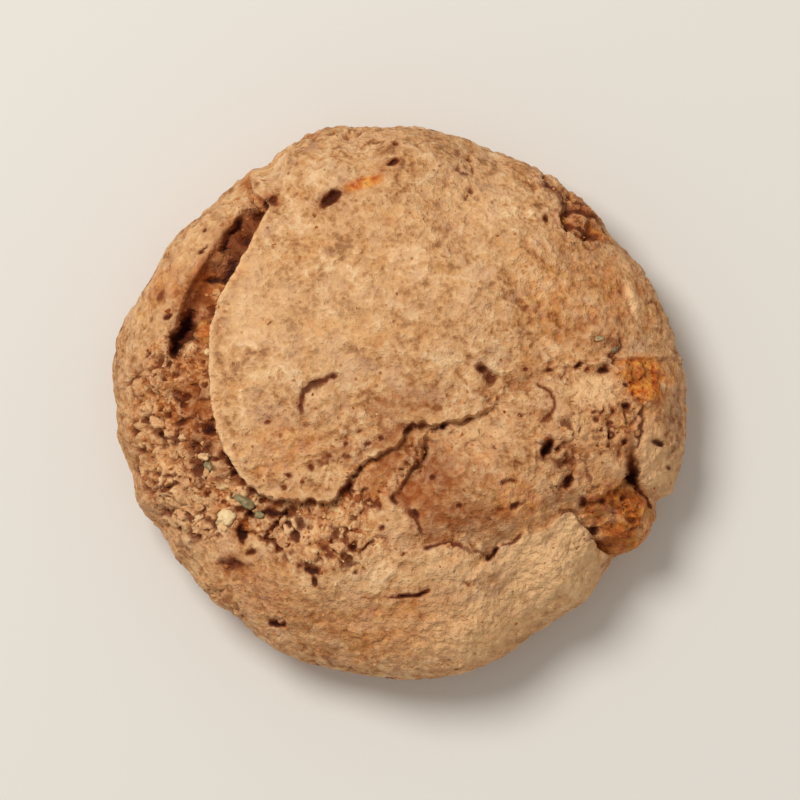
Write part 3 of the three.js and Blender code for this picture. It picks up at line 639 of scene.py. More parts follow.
def disc_from_square(a, b):
    """A square from -1 to 1 laid onto a disc so that each square ring becomes a circle: returns
    the ring, 0 to 1, and the angle."""
    ring = np.maximum(np.abs(a), np.abs(b))
    wide = np.abs(a) >= np.abs(b)
    safe_a = np.where(wide & (a != 0), a, 1)
    safe_b = np.where(~wide, b, 1)
    eighth = math.pi / 4
    angle = np.where(
        wide,
        eighth * b / safe_a + np.where(a < 0, math.pi, 0),
        math.pi / 2 - eighth * a / safe_b + np.where(b < 0, math.pi, 0),
    )
    return ring, angle


def shell_faces(cells, rings):
    """Faces of a square grid for the crown, rings of points below its border, and one last point:
    squares as pairs of corners to be split, and triangles round the last point."""
    grid = np.arange((cells + 1) ** 2).reshape(cells + 1, cells + 1)
    crown = np.stack([grid[:-1, :-1], grid[1:, :-1], grid[1:, 1:], grid[:-1, 1:]], -1)
    border = np.concatenate([
        grid[cells, :cells], grid[cells:0:-1, cells], grid[0, cells:0:-1], grid[:cells, 0],
    ])
    lower = grid.size + np.arange(rings * 4 * cells).reshape(rings, 4 * cells)
    top = np.vstack([border, lower[:-1]])
    side = np.stack([top, lower, np.roll(lower, -1, 1), np.roll(top, -1, 1)], -1)
    last = np.full(4 * cells, lower[-1, -1] + 1)
    pole = np.stack([lower[-1], last, np.roll(lower[-1], -1)], -1)
    return np.vstack([crown.reshape(-1, 4), side.reshape(-1, 4)]), pole, border


def split_short_way(points, squares):
    """Each square as two triangles that share its shorter diagonal."""
    a, b, c, d = squares.T
    first = np.linalg.norm(points[a] - points[c], axis=1)
    second = np.linalg.norm(points[b] - points[d], axis=1)
    one = np.stack([a, b, c, a, c, d], 1)
    other = np.stack([b, c, d, b, d, a], 1)
    return np.where((first < second)[:, None], one, other).reshape(-1, 3)


def smoothed(values, faces, rounds):
    """Values on a mesh, each replaced some rounds over by the mean of its neighbours."""
    start = faces.ravel()
    end = np.roll(faces, -1, 1).ravel()
    count = np.bincount(start, minlength=len(values))
    for _ in range(rounds):
        values = np.bincount(start, values[end], len(values)) / np.maximum(count, 1)
    return values


# --------------------------------------------------------------------------- relief of the crust


def draw_to_lines(plan, lines):
    """Plan points near a plate's edge drawn towards it, and the nearest ones put on it: what is
    left of a point's distance, as a share of the drawn width, is raised to a power."""
    for line in lines:
        distance, _, along, _, foot = line.nearest(plan, LINE_WIDTH)
        moving = (distance < LINE_WIDTH) & (distance > TINY) & (along > 0) & (along < 1)
        left = np.maximum(distance - LINE_SNAP, 0) / (LINE_WIDTH - LINE_SNAP)
        closer = LINE_WIDTH * left**LINE_CRISPNESS
        scale = np.where(moving, closer / np.maximum(distance, TINY), 1)
        plan = foot + (plan - foot) * scale[:, None]
    return plan


def level_places(plan):
    """Plan points as places in space at height 0."""
    return np.column_stack([plan, np.zeros(len(plan))])


def plate_relief(plan, lines, rim):
    """The plates of crust, as a dictionary: the upright height, how bare the low ground is, the
    pale line along a plate's edge, a painted highlight on the lip, the crease at a ragged wall's
    foot, cut into the height and painted dark as painted shadow, how near the wall is, how near it
    is on the high side alone, and the sideways shift that hollows the wall out.
    Beside an edge the low ground falls over the wall's width, stays at full depth for part of its
    reach and rises again. Beyond the rim's wall it doesn't fall at all."""
    flat = level_places(plan)
    rough = noise(flat, 0.9, 301) + 0.5 * noise(flat, 0.45, 302)
    wall_width = 0.5 * (1 + 0.7 * noise(flat, 2.3, 303)) + 0.06
    broken = mix(0.35, 1, smoothstep(noise(flat, 2.1, 304), -0.45, 0.25))
    names = ("height", "bare", "edge", "crease", "wall", "brow")
    relief = {name: np.zeros(len(plan)) for name in names}
    relief["shift"] = np.zeros_like(plan)
    away, rim_side, _, rim_sizes, _ = rim.nearest(plan, RIM_REACH)
    beyond = np.where(rim_side < 0, smoothstep(away, 0, 0.7), 0) * rim_sizes[:, 0]
    beyond = np.where(away < FAR, beyond, 0)
    for number, line in enumerate(lines):
        distance, side, _, sizes, foot = line.nearest(plan, PLATE_REACH)
        drop, reach, bareness, fray = sizes.T
        high = side > 0
        share = np.minimum(drop / 2, 1)
        ragged = smoothstep(fray, 0.12, 0.35)
        lip = 0.3 * share * bell(distance, 2.2)
        crisp = 0.12 * share * (1 - 0.6 * ragged) * bell(distance, 0.5)
        wall = np.where(high, 0, smoothstep(distance, 0, wall_width))
        rise = smoothstep(distance, 0.4 * reach, reach)
        low = wall * (1 - rise)
        if number == 0:  # the lid's edge, which alone faces the rim's wall
            low = low * (1 - beyond)
        crumble = ragged * share * bell(distance, 0.8)
        # The crease is cut into the height and, through the cavity value, painted dark as painted
        # shadow at the wall's foot.
        crease = bell(distance - wall_width, 0.32) * ragged * np.where(high, 0, 1)
        crease = crease * smoothstep(drop, 0.15, 0.9) * (0.75 + 0.45 * rough) * broken
        relief["height"] += (lip + crisp) * (1 - wall) - drop * low
        relief["height"] += 0.35 * rough * crumble - 0.8 * np.maximum(crease, 0)
        beside = share * bell(distance, 0.6)
        marks = {
            "bare": bareness * low * smoothstep(drop, 0.1, 0.8),
            # The pale line on a plate's high edge is a painted highlight on its lit lip.
            "edge": share * np.where(high, bell(distance, 0.5), 0) * (1 - 0.7 * ragged),
            "crease": crease, "wall": beside, "brow": np.where(high, beside, 0),
        }
        for name, mark in marks.items():
            relief[name] = np.maximum(relief[name], mark)
        under = np.where(high, 0, wall * (1 - smoothstep(distance, 0.6, 2)))
        outward = (plan - foot) / np.maximum(distance, 0.05)[:, None]
        relief["shift"] -= outward * (0.2 * drop * under)[:, None]
    return relief


def hole_relief(plan):
    """Separate holes and cracks: their depth, how dark they are inside, partly darker baked crumb
    and partly painted shade, and the browner rim round them. A hole is an oval bowl with steep
    sides and a wandering edge, and a crack a groove along its line, wider in some places than in
    others."""
    flat = level_places(plan)
    wobble = 0.3 * noise(flat, 0.8, 401) + 0.2 * noise(flat, 1.9, 402)
    wobble += 0.15 * noise(flat, 0.4, 403)
    depth, dark, halo = np.zeros((3, len(plan)))
    for *oval, deep, shade in HOLES:
        reach = oval_reach(plan, *oval) + wobble
        bowl = 1 - smoothstep(reach, 0.3, 1.15)
        depth = np.maximum(depth, deep * bowl)
        dark = np.maximum(dark, shade * bowl)
        halo = np.maximum(halo, shade * (1 - smoothstep(reach, 0.8, 1.9)))
    for number, (points, width, deep, fray) in enumerate(CRACKS):
        line = Line(points, 500 + 13 * number, fray=1.4 * fray)
        distance, _, along, _, _ = line.nearest(plan, CRACK_REACH)
        taper = smoothstep(along, -0.05, 0.2) * (1 - smoothstep(along, 0.8, 1.05))
        reach = distance / (width / 2) + 1.6 * wobble
        groove = (1 - smoothstep(reach, 0.1, 1.3)) * taper
        depth = np.maximum(depth, deep * groove)
        # A crack is painted darker the deeper it is: partly darker crumb, partly painted shade.
        shade = min(0.1 + 1.2 * deep, 1)
        dark = np.maximum(dark, shade * groove)
        halo = np.maximum(halo, 0.8 * shade * taper * (1 - smoothstep(reach, 0.8, 2.4)))
    return depth, dark, halo


def crumb_relief(points, soaked):
    """Bare crumb, torn into lumps: its height, the depth of its pores from 0 to 1, and each
    lump's own tint from 0 to 1. Where oil has soaked in, the lumps have run together."""
    loose = 1 - 0.5 * soaked
    bent = points + 0.5 * stirring(points, 1.7, 600) + 0.2 * stirring(points, 0.6, 603)
    large, large_gap, large_tint = chunks(bent, 2.3, 610)
    small, small_gap, small_tint = chunks(bent, 1.2, 660)
    lumps = 0.45 * fractal(points, 3.6, 2, 620) + 0.4 * large + 0.2 * small * loose + 0.08
    lumps += 0.1 * noise(points, 0.55, 635) - (0.28 * large_gap + 0.14 * small_gap) * loose
    dense = smoothstep(noise(points, 5, 638), -0.5, 0.5)
    pores = pits(bent, 1.9, 0.85, (0.4, 0.95), 640) * mix(0.55, 1, dense)
    pores = np.maximum(pores, 0.8 * pits(bent, 1.05, 0.7, (0.24, 0.5), 650))
    pores = np.maximum(pores, large_gap * smoothstep(noise(points, 2.4, 655), -0.3, 0.5) * 0.9)
    return lumps, pores * loose, 0.6 * large_tint + 0.4 * small_tint


def crust_relief(points, around):
    """Baked crust: its height, pebbled, with soft slanting ridges on top and wrinkles that run
    round the side, and the depth of its dimples from 0 to 1. The second place is the one that
    is measured round the rim and down the side."""
    bent = points + 0.35 * stirring(points, 1.2, 700)
    along, across = turned(bent[:, 0], bent[:, 1], RIDGE_TURN)
    slanting = np.column_stack([along / RIDGE_STRETCH, across, bent[:, 2]])
    fine = 0.16 * fractal(points, 5, 2, 710) + 0.2 * noise(bent, 2, 720)
    fine += 0.18 * noise(bent, 1.05, 730) + 0.1 * noise(points, 0.6, 735)
    fine += 0.18 * noise(slanting, 2.6, 715) + 0.12 * noise(around, 2.2, 770)
    fine += 0.12 * noise(bent, 1.4, 775)
    dense = smoothstep(noise(points, 6, 738), -0.15, 0.5)
    dimples = pits(bent, 1.6, 0.55, (0.2, 0.55), 740) * mix(0.25, 0.9, dense)
    dimples = np.maximum(dimples, pits(bent, 3.1, 0.35, (0.25, 0.6), 750))
    return fine, dimples


def soft_lumps(points):
    """Soft lumps all over the body, a sum of slanting waves."""
    return sum(
        height * np.sin(points @ np.array([kx, ky, kz]) + phase)
        for height, kx, ky, kz, phase in LUMPS
    )


def underside(foot, rows):
    """The flat underside: rings that are the foot's ring drawn in to the middle, and one last
    point there. It is hollowed a little inside its outermost rings, by noise."""
    shares = np.linspace(1, 0, rows + 1)[:-1] ** 0.7
    shares[0] = 0.985
    under = np.concatenate([foot * (share, share, 0) for share in shares] + [np.zeros((1, 3))])
    hollow = 0.22 * smoothstep(fractal(under, 7, 3, 831), -0.2, 0.7)
    inset = np.repeat(np.append(shares, 0), [len(foot)] * rows + [1])
    under[:, 2] = hollow * (1 - smoothstep(inset, 0.9, 0.97))
    return under


def smooth_grid(body, cells, border, side_rows, lines):
    """The smooth body above its underside: a square grid laid onto the crown, its points drawn to
    the plates' edges, then rows round the side down to the foot. Returns the points, their
    outward normals, their shares of the section's length, and the way each faces in plan."""
    steps = np.linspace(-1, 1, cells + 1)
    a, b = np.meshgrid(steps, steps, indexing="ij")
    ring, angle = disc_from_square(a.ravel(), b.ravel())
    radius = body.at(SHOULDER * ring)[0] * body.outline(angle)
    plan = facing(angle) * radius[:, None]
    inner = ring < 1
    plan[inner] = draw_to_lines(plan[inner] + FITTED_BY, lines) - FITTED_BY
    crown_angle = np.arctan2(plan[:, 1], plan[:, 0])
    crown_share = body.share_at_radius(np.hypot(plan[:, 0], plan[:, 1]) / body.outline(crown_angle))

    rows = np.arange(1, side_rows + 1) / side_rows
    side_share = np.repeat(mix(SHOULDER, body.foot, rows), len(border))
    side_angle = np.tile(angle[border], side_rows)
    share = np.concatenate([crown_share, side_share])
    angle_all = np.concatenate([crown_angle, side_angle])
    r, z, out, up = body.at(share)
    away = facing(angle_all)
    base = np.column_stack([away * (r * body.outline(angle_all, share))[:, None], z])
    base[: len(plan), :2] = plan
    return base, np.column_stack([away * out[:, None], up]), share, away


def build_shell(body, cells, side_rows, under_rows, pore_depth):
    """The whole cookie as one closed surface: its points, its triangles, and a dictionary of
    values at the points that the finish reads. A point of the smooth body moves along its normal
    by the soft lumps and by the crust's pebbling or the crumb's lumps, as it is whole or bare,
    less its pores. It moves upright by the plates' steps and the swellings, less the holes."""
    squares, pole, border = shell_faces(cells, side_rows + under_rows)
    lines = [Line(rows, 40 + 17 * k, fray_column=3) for k, rows in enumerate(PLATE_EDGES)]
    rim = Line(RIM_WALL, 31, fray=0.3)
    base, normal, share, away = smooth_grid(body, cells, border, side_rows, lines)

    plan = base[:, :2] + FITTED_BY
    keep = 1 - smoothstep(share, *FEATURES_END)
    keep_lumps = 1 - smoothstep(share, *LUMPS_END)
    foot_fade = smoothstep(base[:, 2], 0, FOOT_RISE)
    plates = plate_relief(plan, lines, rim)
    height = plates["height"] * keep
    depth, dark, halo = hole_relief(plan)
    flat = base * (1, 1, 0.5)
    wobble = 0.3 * noise(flat, 3.5, 801) + 0.22 * noise(flat, 1.4, 802)
    patches = patch_mask(plan, BARE_PATCHES, wobble)
    bare = np.clip(np.maximum(plates["bare"] * (1 + wobble), patches) * keep, 0, 1)
    side_bare = smoothstep(fractal(base, 9, 2, 811), 0.1, 0.6) * smoothstep(share, 0.6, 0.7)
    bare = np.maximum(bare, 0.55 * side_bare * foot_fade)
    bare *= 1 - patch_mask(plan, WHOLE_PATCHES, wobble)

    stain = patch_mask(plan, STAINED, wobble)
    lumps, pores, tint = crumb_relief(base, stain)
    around = np.column_stack([away * body.r.max() / 3.6, share * body.length])
    around *= smoothstep(share, 0.3, 0.62)[:, None] ** 0.25
    fine, dimples = crust_relief(base, around)
    round_height = sum(
        row[5] * (1 - smoothstep(oval_reach(plan, *row[:5]), 0, 1)) for row in SWELLINGS
    )
    height += (round_height - depth) * keep
    lift = soft_lumps(base) * keep_lumps - SINK
    lift += mix(fine, lumps, bare) * mix(0.35, 1, foot_fade)
    # The pores and dimples are cut into the surface, and through the cavity value they are also
    # painted dark as painted shade.
    holed = mix(0.4 * dimples, pores, bare) * foot_fade * (1 - plates["wall"])
    lift -= pore_depth * holed
    points = base + normal * lift[:, None]
    points[:, 2] += height
    points[:, :2] += plates["shift"] * keep[:, None]
    points[:, 2] = np.maximum(points[:, 2], 0)

    under = underside(points[-len(border):], under_rows)
    all_points = np.vstack([points, under])
    faces = np.vstack([split_short_way(all_points, squares), pole])

    # The dark comes from holes, partly darker baked crumb and partly painted shade, from creases,
    # painted shadow at the walls' feet, from the shade patches, painted shade, and from pores and
    # dimples, painted shade.
    cavity_shade = np.maximum(dark * (1 - plates["brow"]), 0.5 * plates["crease"]) * keep
    cavity_shade = np.maximum(cavity_shade, patch_mask(plan, SHADE_PATCHES, wobble) * keep)
    cavity_shade = np.maximum(cavity_shade, mix(1, 0.8, bare) * holed)
    near_top = 1 - smoothstep(share, *STAINS_END)
    # Toasting: red-brown in patches and round holes, and in places painted shade, as on the
    # swelling's left flank and the groove's floor.
    toast_and_shade = np.maximum(patch_mask(plan, TOASTED_AND_SHADED, wobble), 0.7 * halo)
    # Pale dust, with the painted highlight along the plates' lit edges.
    dust_and_light = np.maximum(plates["edge"], patch_mask(plan, DUSTED_AND_LIT, wobble))
    upper = {
        "bare": bare, "cavity_shade": cavity_shade, "toast_and_shade": toast_and_shade * near_top, "stain": stain * near_top,
        "dust_and_light": dust_and_light * keep, "tint": tint,
        "crest_shading": lift + height - 0.75 * plates["height"] * keep,
    }
    values = {name: np.append(above, np.zeros(len(under))) for name, above in upper.items()}
    # Crests and dips against their smoothed surroundings, for painted highlights on crests and
    # painted shade in dips.
    values["crest_shading"] -= smoothed(values["crest_shading"], faces, CREST_ROUNDS)
    values["browned"] = np.append(1 - foot_fade, np.ones(len(under)))
    return all_points, faces, values


def fit_to_box(points, low, high):
    """Points moved and very slightly stretched, axis by axis, so that they fill a box."""
    mine_low, mine_high = points.min(0), points.max(0)
    scale = (high - low) / (mine_high - mine_low)
    return low + (points - mine_low) * scale, scale


# --------------------------------------------------------------------------- loose bits

# Heights in millimetres above which bits of each kind lie.
GRAINS_ABOVE, STRAY_GRAINS_ABOVE, WALNUT_ABOVE, FLAKES_ABOVE = 4, 12, 8, 13
GRAIN_SEED, FLAKE_SEED = 5, 11
LARGEST_GRAIN = 0.6  # radius in millimetres
FLAKES = 44  # number of flakes of crust
FLAKE_RADII = (0.35, 1.05)  # their least and greatest radius in millimetres
GOLDEN = (1 + math.sqrt(5)) / 2
TWENTY_SIDES = np.array([
    (0, 11, 5), (0, 5, 1), (0, 1, 7), (0, 7, 10), (0, 10, 11), (1, 5, 9), (5, 11, 4),
    (11, 10, 2), (10, 7, 6), (7, 1, 8), (3, 9, 4), (3, 4, 2), (3, 2, 6), (3, 6, 8),
    (3, 8, 9), (4, 9, 5), (2, 4, 11), (6, 2, 10), (8, 6, 7), (9, 8, 1),
])


def twelve_corners():
    """The corners of a twenty-sided ball of radius 1."""
    g = GOLDEN
    return unit(np.array([
        (-1, g, 0), (1, g, 0), (-1, -g, 0), (1, -g, 0), (0, -1, g), (0, 1, g),
        (0, -1, -g), (0, 1, -g), (g, 0, -1), (g, 0, 1), (-g, 0, -1), (-g, 0, 1),
    ], float))


def turns(rng, count):
    """Random turns as matrices, each from a random unit quaternion."""
    w, x, y, z = unit(rng.normal(size=(count, 4))).T
    return np.stack([
        1 - 2 * (y * y + z * z), 2 * (x * y - w * z), 2 * (x * z + w * y),
        2 * (x * y + w * z), 1 - 2 * (x * x + z * z), 2 * (y * z - w * x),
        2 * (x * z - w * y), 2 * (y * z + w * x), 1 - 2 * (x * x + y * y),
    ], 1).reshape(-1, 3, 3)


def scatter_balls(rng, places, radii, flatness):
    """Small uneven twenty-sided balls at given places, each turned and dented at random."""
    corners = twelve_corners()
    count = len(places)
    dented = corners[None] * rng.uniform(0.4, 1.35, (count, len(corners), 1))
    dented = dented * rng.uniform(flatness, 1, (count, 1, 3))
    spun = np.einsum("nij,nkj->nki", turns(rng, count), dented)
    points = places[:, None] + spun * radii[:, None, None]
    faces = TWENTY_SIDES[None] + len(corners) * np.arange(count)[:, None, None]
    return points.reshape(-1, 3), faces.reshape(-1, 3)


# Bits of walnut in the crumb: x, y, length, width, height, turn in degrees, and their skin from
# 0, bare kernel, through 0.7, grey-green, to 1, brown.
WALNUT_BITS = [
    (-21.1, -14.8, 2.6, 2, 1.7, 20, 0.07), (-21.5, -16, 1.6, 1.1, 1, -10, 0.2),
    (-18.9, -12.7, 3.2, 1.3, 1.3, -38, 0.7), (-17.2, -14.4, 1.6, 1, 0.9, -20, 0.66),
    (-23.9, -7.2, 1.7, 1.2, 1, 15, 0.3), (-23.2, -8.5, 1.5, 1, 0.9, -20, 0.6),
    (-26.4, -4.8, 1.3, 1, 0.8, 40, 0.3), (-23.6, 5.4, 1, 0.8, 0.7, 0, 0.1),
    (24.3, 7, 1.2, 0.7, 0.5, 10, 0.52), (26.2, 5.7, 1.3, 0.7, 0.5, 25, 0.84),
    (-24.6, -14.8, 1.2, 0.9, 0.8, 30, 0.3),
]


def walnut_bit(number, length, width, height, turn, normal):
    """One broken bit: a ball from rows and columns of angles, pushed in and out by its lumps so
    that its faces are flat and its corners crisp, then stretched to its size, turned and stood
    on ground that faces along the normal."""
    rows, columns = 13, 22
    down = np.linspace(0, math.pi, rows)[1:-1]
    round_about = np.linspace(0, 2 * math.pi, columns, endpoint=False)
    v, u = np.meshgrid(down, round_about, indexing="ij")
    ball = np.stack([np.sin(v) * np.cos(u), np.sin(v) * np.sin(u), np.cos(v)], -1).reshape(-1, 3)
    ball = np.vstack([ball, (0, 0, 1), (0, 0, -1)])
    place = ball + 9.0 * number  # far from the other bits, so that no two are alike
    height_of, gap, _ = chunks(place, 0.9, 900)
    ball = ball * (1 + 0.3 * height_of - 0.2 * gap + 0.22 * noise(place, 0.8, 905))[:, None]
    ball = ball * (length / 2, width / 2, height / 2)
    ahead = np.array([math.cos(math.radians(turn)), math.sin(math.radians(turn)), 0])
    ahead = unit(ahead - normal * (ahead @ normal))
    points = ball @ np.stack([ahead, np.cross(normal, ahead), normal])
    grid = np.arange((rows - 2) * columns).reshape(rows - 2, columns)
    across = np.roll(grid, -1, 1)
    a, b, c, d = (
        corner.ravel() for corner in (grid[:-1], grid[1:], across[1:], across[:-1])
    )
    top, bottom = len(ball) - 2, len(ball) - 1
    faces = np.vstack([
        np.stack([a, b, c], 1), np.stack([a, c, d], 1),
        np.stack([np.full(columns, top), grid[0], across[0]], 1),
        np.stack([np.full(columns, bottom), across[-1], grid[-1]], 1),
    ])
    return points, faces


def thin_flakes(rng, places, normals, radii):
    """Thin shards of crust at given places, nearly flat on the ground there: each an uneven
    eight-cornered slab whose upper side is smaller than its lower one."""
    corners, count = 8, len(places)
    angle = np.linspace(0, 2 * math.pi, corners, endpoint=False) + rng.uniform(0, 6, (count, 1))
    reach = radii[:, None] * rng.uniform(0.55, 1.15, (count, corners))
    reach = reach * (1 - 0.4 * np.abs(np.cos(angle - rng.uniform(0, 3, (count, 1)))))
    tilted = unit(normals + rng.normal(0, 0.28, normals.shape))
    side = unit(np.cross(tilted, (0.3, 0.9, 0.1)))
    other = np.cross(tilted, side)
    flat = (
        side[:, None] * (reach * np.cos(angle))[..., None]
        + other[:, None] * (reach * np.sin(angle))[..., None]
    )
    thickness = (0.1 + 0.12 * rng.uniform(0, 1, count))[:, None, None]
    lower = places[:, None] + flat - tilted[:, None] * 0.12
    upper = places[:, None] + 0.86 * flat + tilted[:, None] * thickness
    points = np.concatenate([lower, upper], 1)
    ring = np.arange(corners)
    after = np.roll(ring, -1)
    fan = np.arange(1, corners - 1)
    faces = np.vstack([
        np.stack([ring, after, corners + after], 1),
        np.stack([ring, corners + after, corners + ring], 1),
        np.stack([np.full(corners - 2, corners), corners + fan, corners + fan + 1], 1),
        np.stack([np.zeros(corners - 2, int), fan + 1, fan], 1),
    ])
    faces = faces[None] + 2 * corners * np.arange(count)[:, None, None]
    return points.reshape(-1, 3), faces.reshape(-1, 3)


# --------------------------------------------------------------------------- meshes and finishes


def linear(colour):
    """A display colour as the linear one that shaders use, by the sRGB curve."""
    return tuple(
        c / 12.92 if c <= 0.04045 else ((c + 0.055) / 1.055) ** 2.4 for c in colour
    ) + (1.0,)


def placed(name, data):
    """A new object in the scene."""
    thing = bpy.data.objects.new(name, data)
    bpy.context.scene.collection.objects.link(thing)
    return thing


def mesh_object(name, points, faces, values, material, smooth):
    """A closed mesh in metres from points in millimetres, with its values and its material."""
    mesh = bpy.data.meshes.new(name)
    mesh.from_pydata(points * MM, [], faces.tolist())
    for key, numbers in values.items():
        attribute = mesh.attributes.new(key, "FLOAT", "POINT")
        attribute.data.foreach_set("value", np.asarray(numbers, np.float32))
    if smooth:
        mesh.shade_smooth()
    mesh.materials.append(material)
    return placed(name, mesh)


class Finish:
    """A material whose nodes are added by short calls. Sizes are in millimetres."""

    def __init__(self, name):
        self.material = bpy.data.materials.new(name)
        self.material.use_nodes = True
        self.tree = self.material.node_tree
        self.shader = self.tree.nodes["Principled BSDF"]
        self.place = self.tree.nodes.new("ShaderNodeTexCoord").outputs["Object"]

    def add(self, kind, inputs=(), **settings):
        """A node with its settings made and its inputs set or linked."""
        node = self.tree.nodes.new(kind)
        for key, value in settings.items():
            setattr(node, key, value)
        self.feed(node, dict(inputs))
        return node

    def feed(self, node, inputs):
        """A node's inputs linked where the value is a socket, and otherwise set."""
        for key, value in inputs.items():
            if isinstance(value, bpy.types.NodeSocket):
                self.tree.links.new(value, node.inputs[key])
            else:
                node.inputs[key].default_value = value

    def value(self, name):
        """A value kept at the mesh's points."""
        return self.add("ShaderNodeAttribute", attribute_name=name).outputs["Fac"]

    def noise(self, size, detail=2.0, rough=0.5, warp=0.0):
        """Cloudy noise of a size, from about 0.3 to 0.7."""
        inputs = {
            "Vector": self.place, "Scale": 1 / (size * MM), "Detail": detail,
            "Roughness": rough, "Distortion": warp,
        }
        return self.add("ShaderNodeTexNoise", inputs).outputs["Fac"]

    def cells(self, size):
        """The distance from the nearest of many scattered spots."""
        inputs = {"Vector": self.place, "Scale": 1 / (size * MM)}
        return self.add("ShaderNodeTexVoronoi", inputs).outputs["Distance"]

    def range(self, value, low, high, to_low=0.0, to_high=1.0, linear_rise=False):
        """A value from low to high led over to another range, softly or in a straight line."""
        inputs = {
            "Value": value, "From Min": low, "From Max": high,
            "To Min": to_low, "To Max": to_high,
        }
        rise = "LINEAR" if linear_rise else "SMOOTHSTEP"
        node = self.add("ShaderNodeMapRange", inputs, interpolation_type=rise)
        return node.outputs["Result"]

    def ramp(self, share, *stops):
        """A colour from a row of stops, each a share and a colour."""
        node = self.add("ShaderNodeValToRGB", {"Fac": share})
        elements = node.color_ramp.elements
        while len(elements) < len(stops):
            elements.new(1)
        for element, (position, colour) in zip(elements, stops):
            element.position = position
            element.color = colour
        return node.outputs["Color"]

    def plus(self, a, b):
        """The sum of two values."""
        return self.add("ShaderNodeMath", {0: a, 1: b}, operation="ADD").outputs[0]

    def times(self, a, b):
        """The product of two values."""
        return self.add("ShaderNodeMath", {0: a, 1: b}, operation="MULTIPLY").outputs[0]

    def mix(self, share, a, b):
        """Colour a where the share is 0 and b where it is 1."""
        return self.add("ShaderNodeMix", {0: share, 6: a, 7: b}, data_type="RGBA").outputs[2]

    def bump(self, height, depth, below=None):
        """Normals that lean as if the surface rose and fell by a depth."""
        inputs = {"Height": height, "Distance": depth * MM, "Strength": 1.0}
        if below is not None:
            inputs["Normal"] = below
        return self.add("ShaderNodeBump", inputs).outputs["Normal"]

    def finish(self, colour, normal, roughness):
        """The material with its colour, normals and roughness set."""
        self.feed(self.shader, {"Base Color": colour, "Normal": normal, "Roughness": roughness})
        self.shader.inputs["Specular IOR Level"].default_value = 0.25
        return self.material


def tones_of(colours):
    """All the cookie's colours by name, as the linear ones that shaders use."""
    return {key: linear(getattr(colours, key)) for key in type(colours).__annotations__}


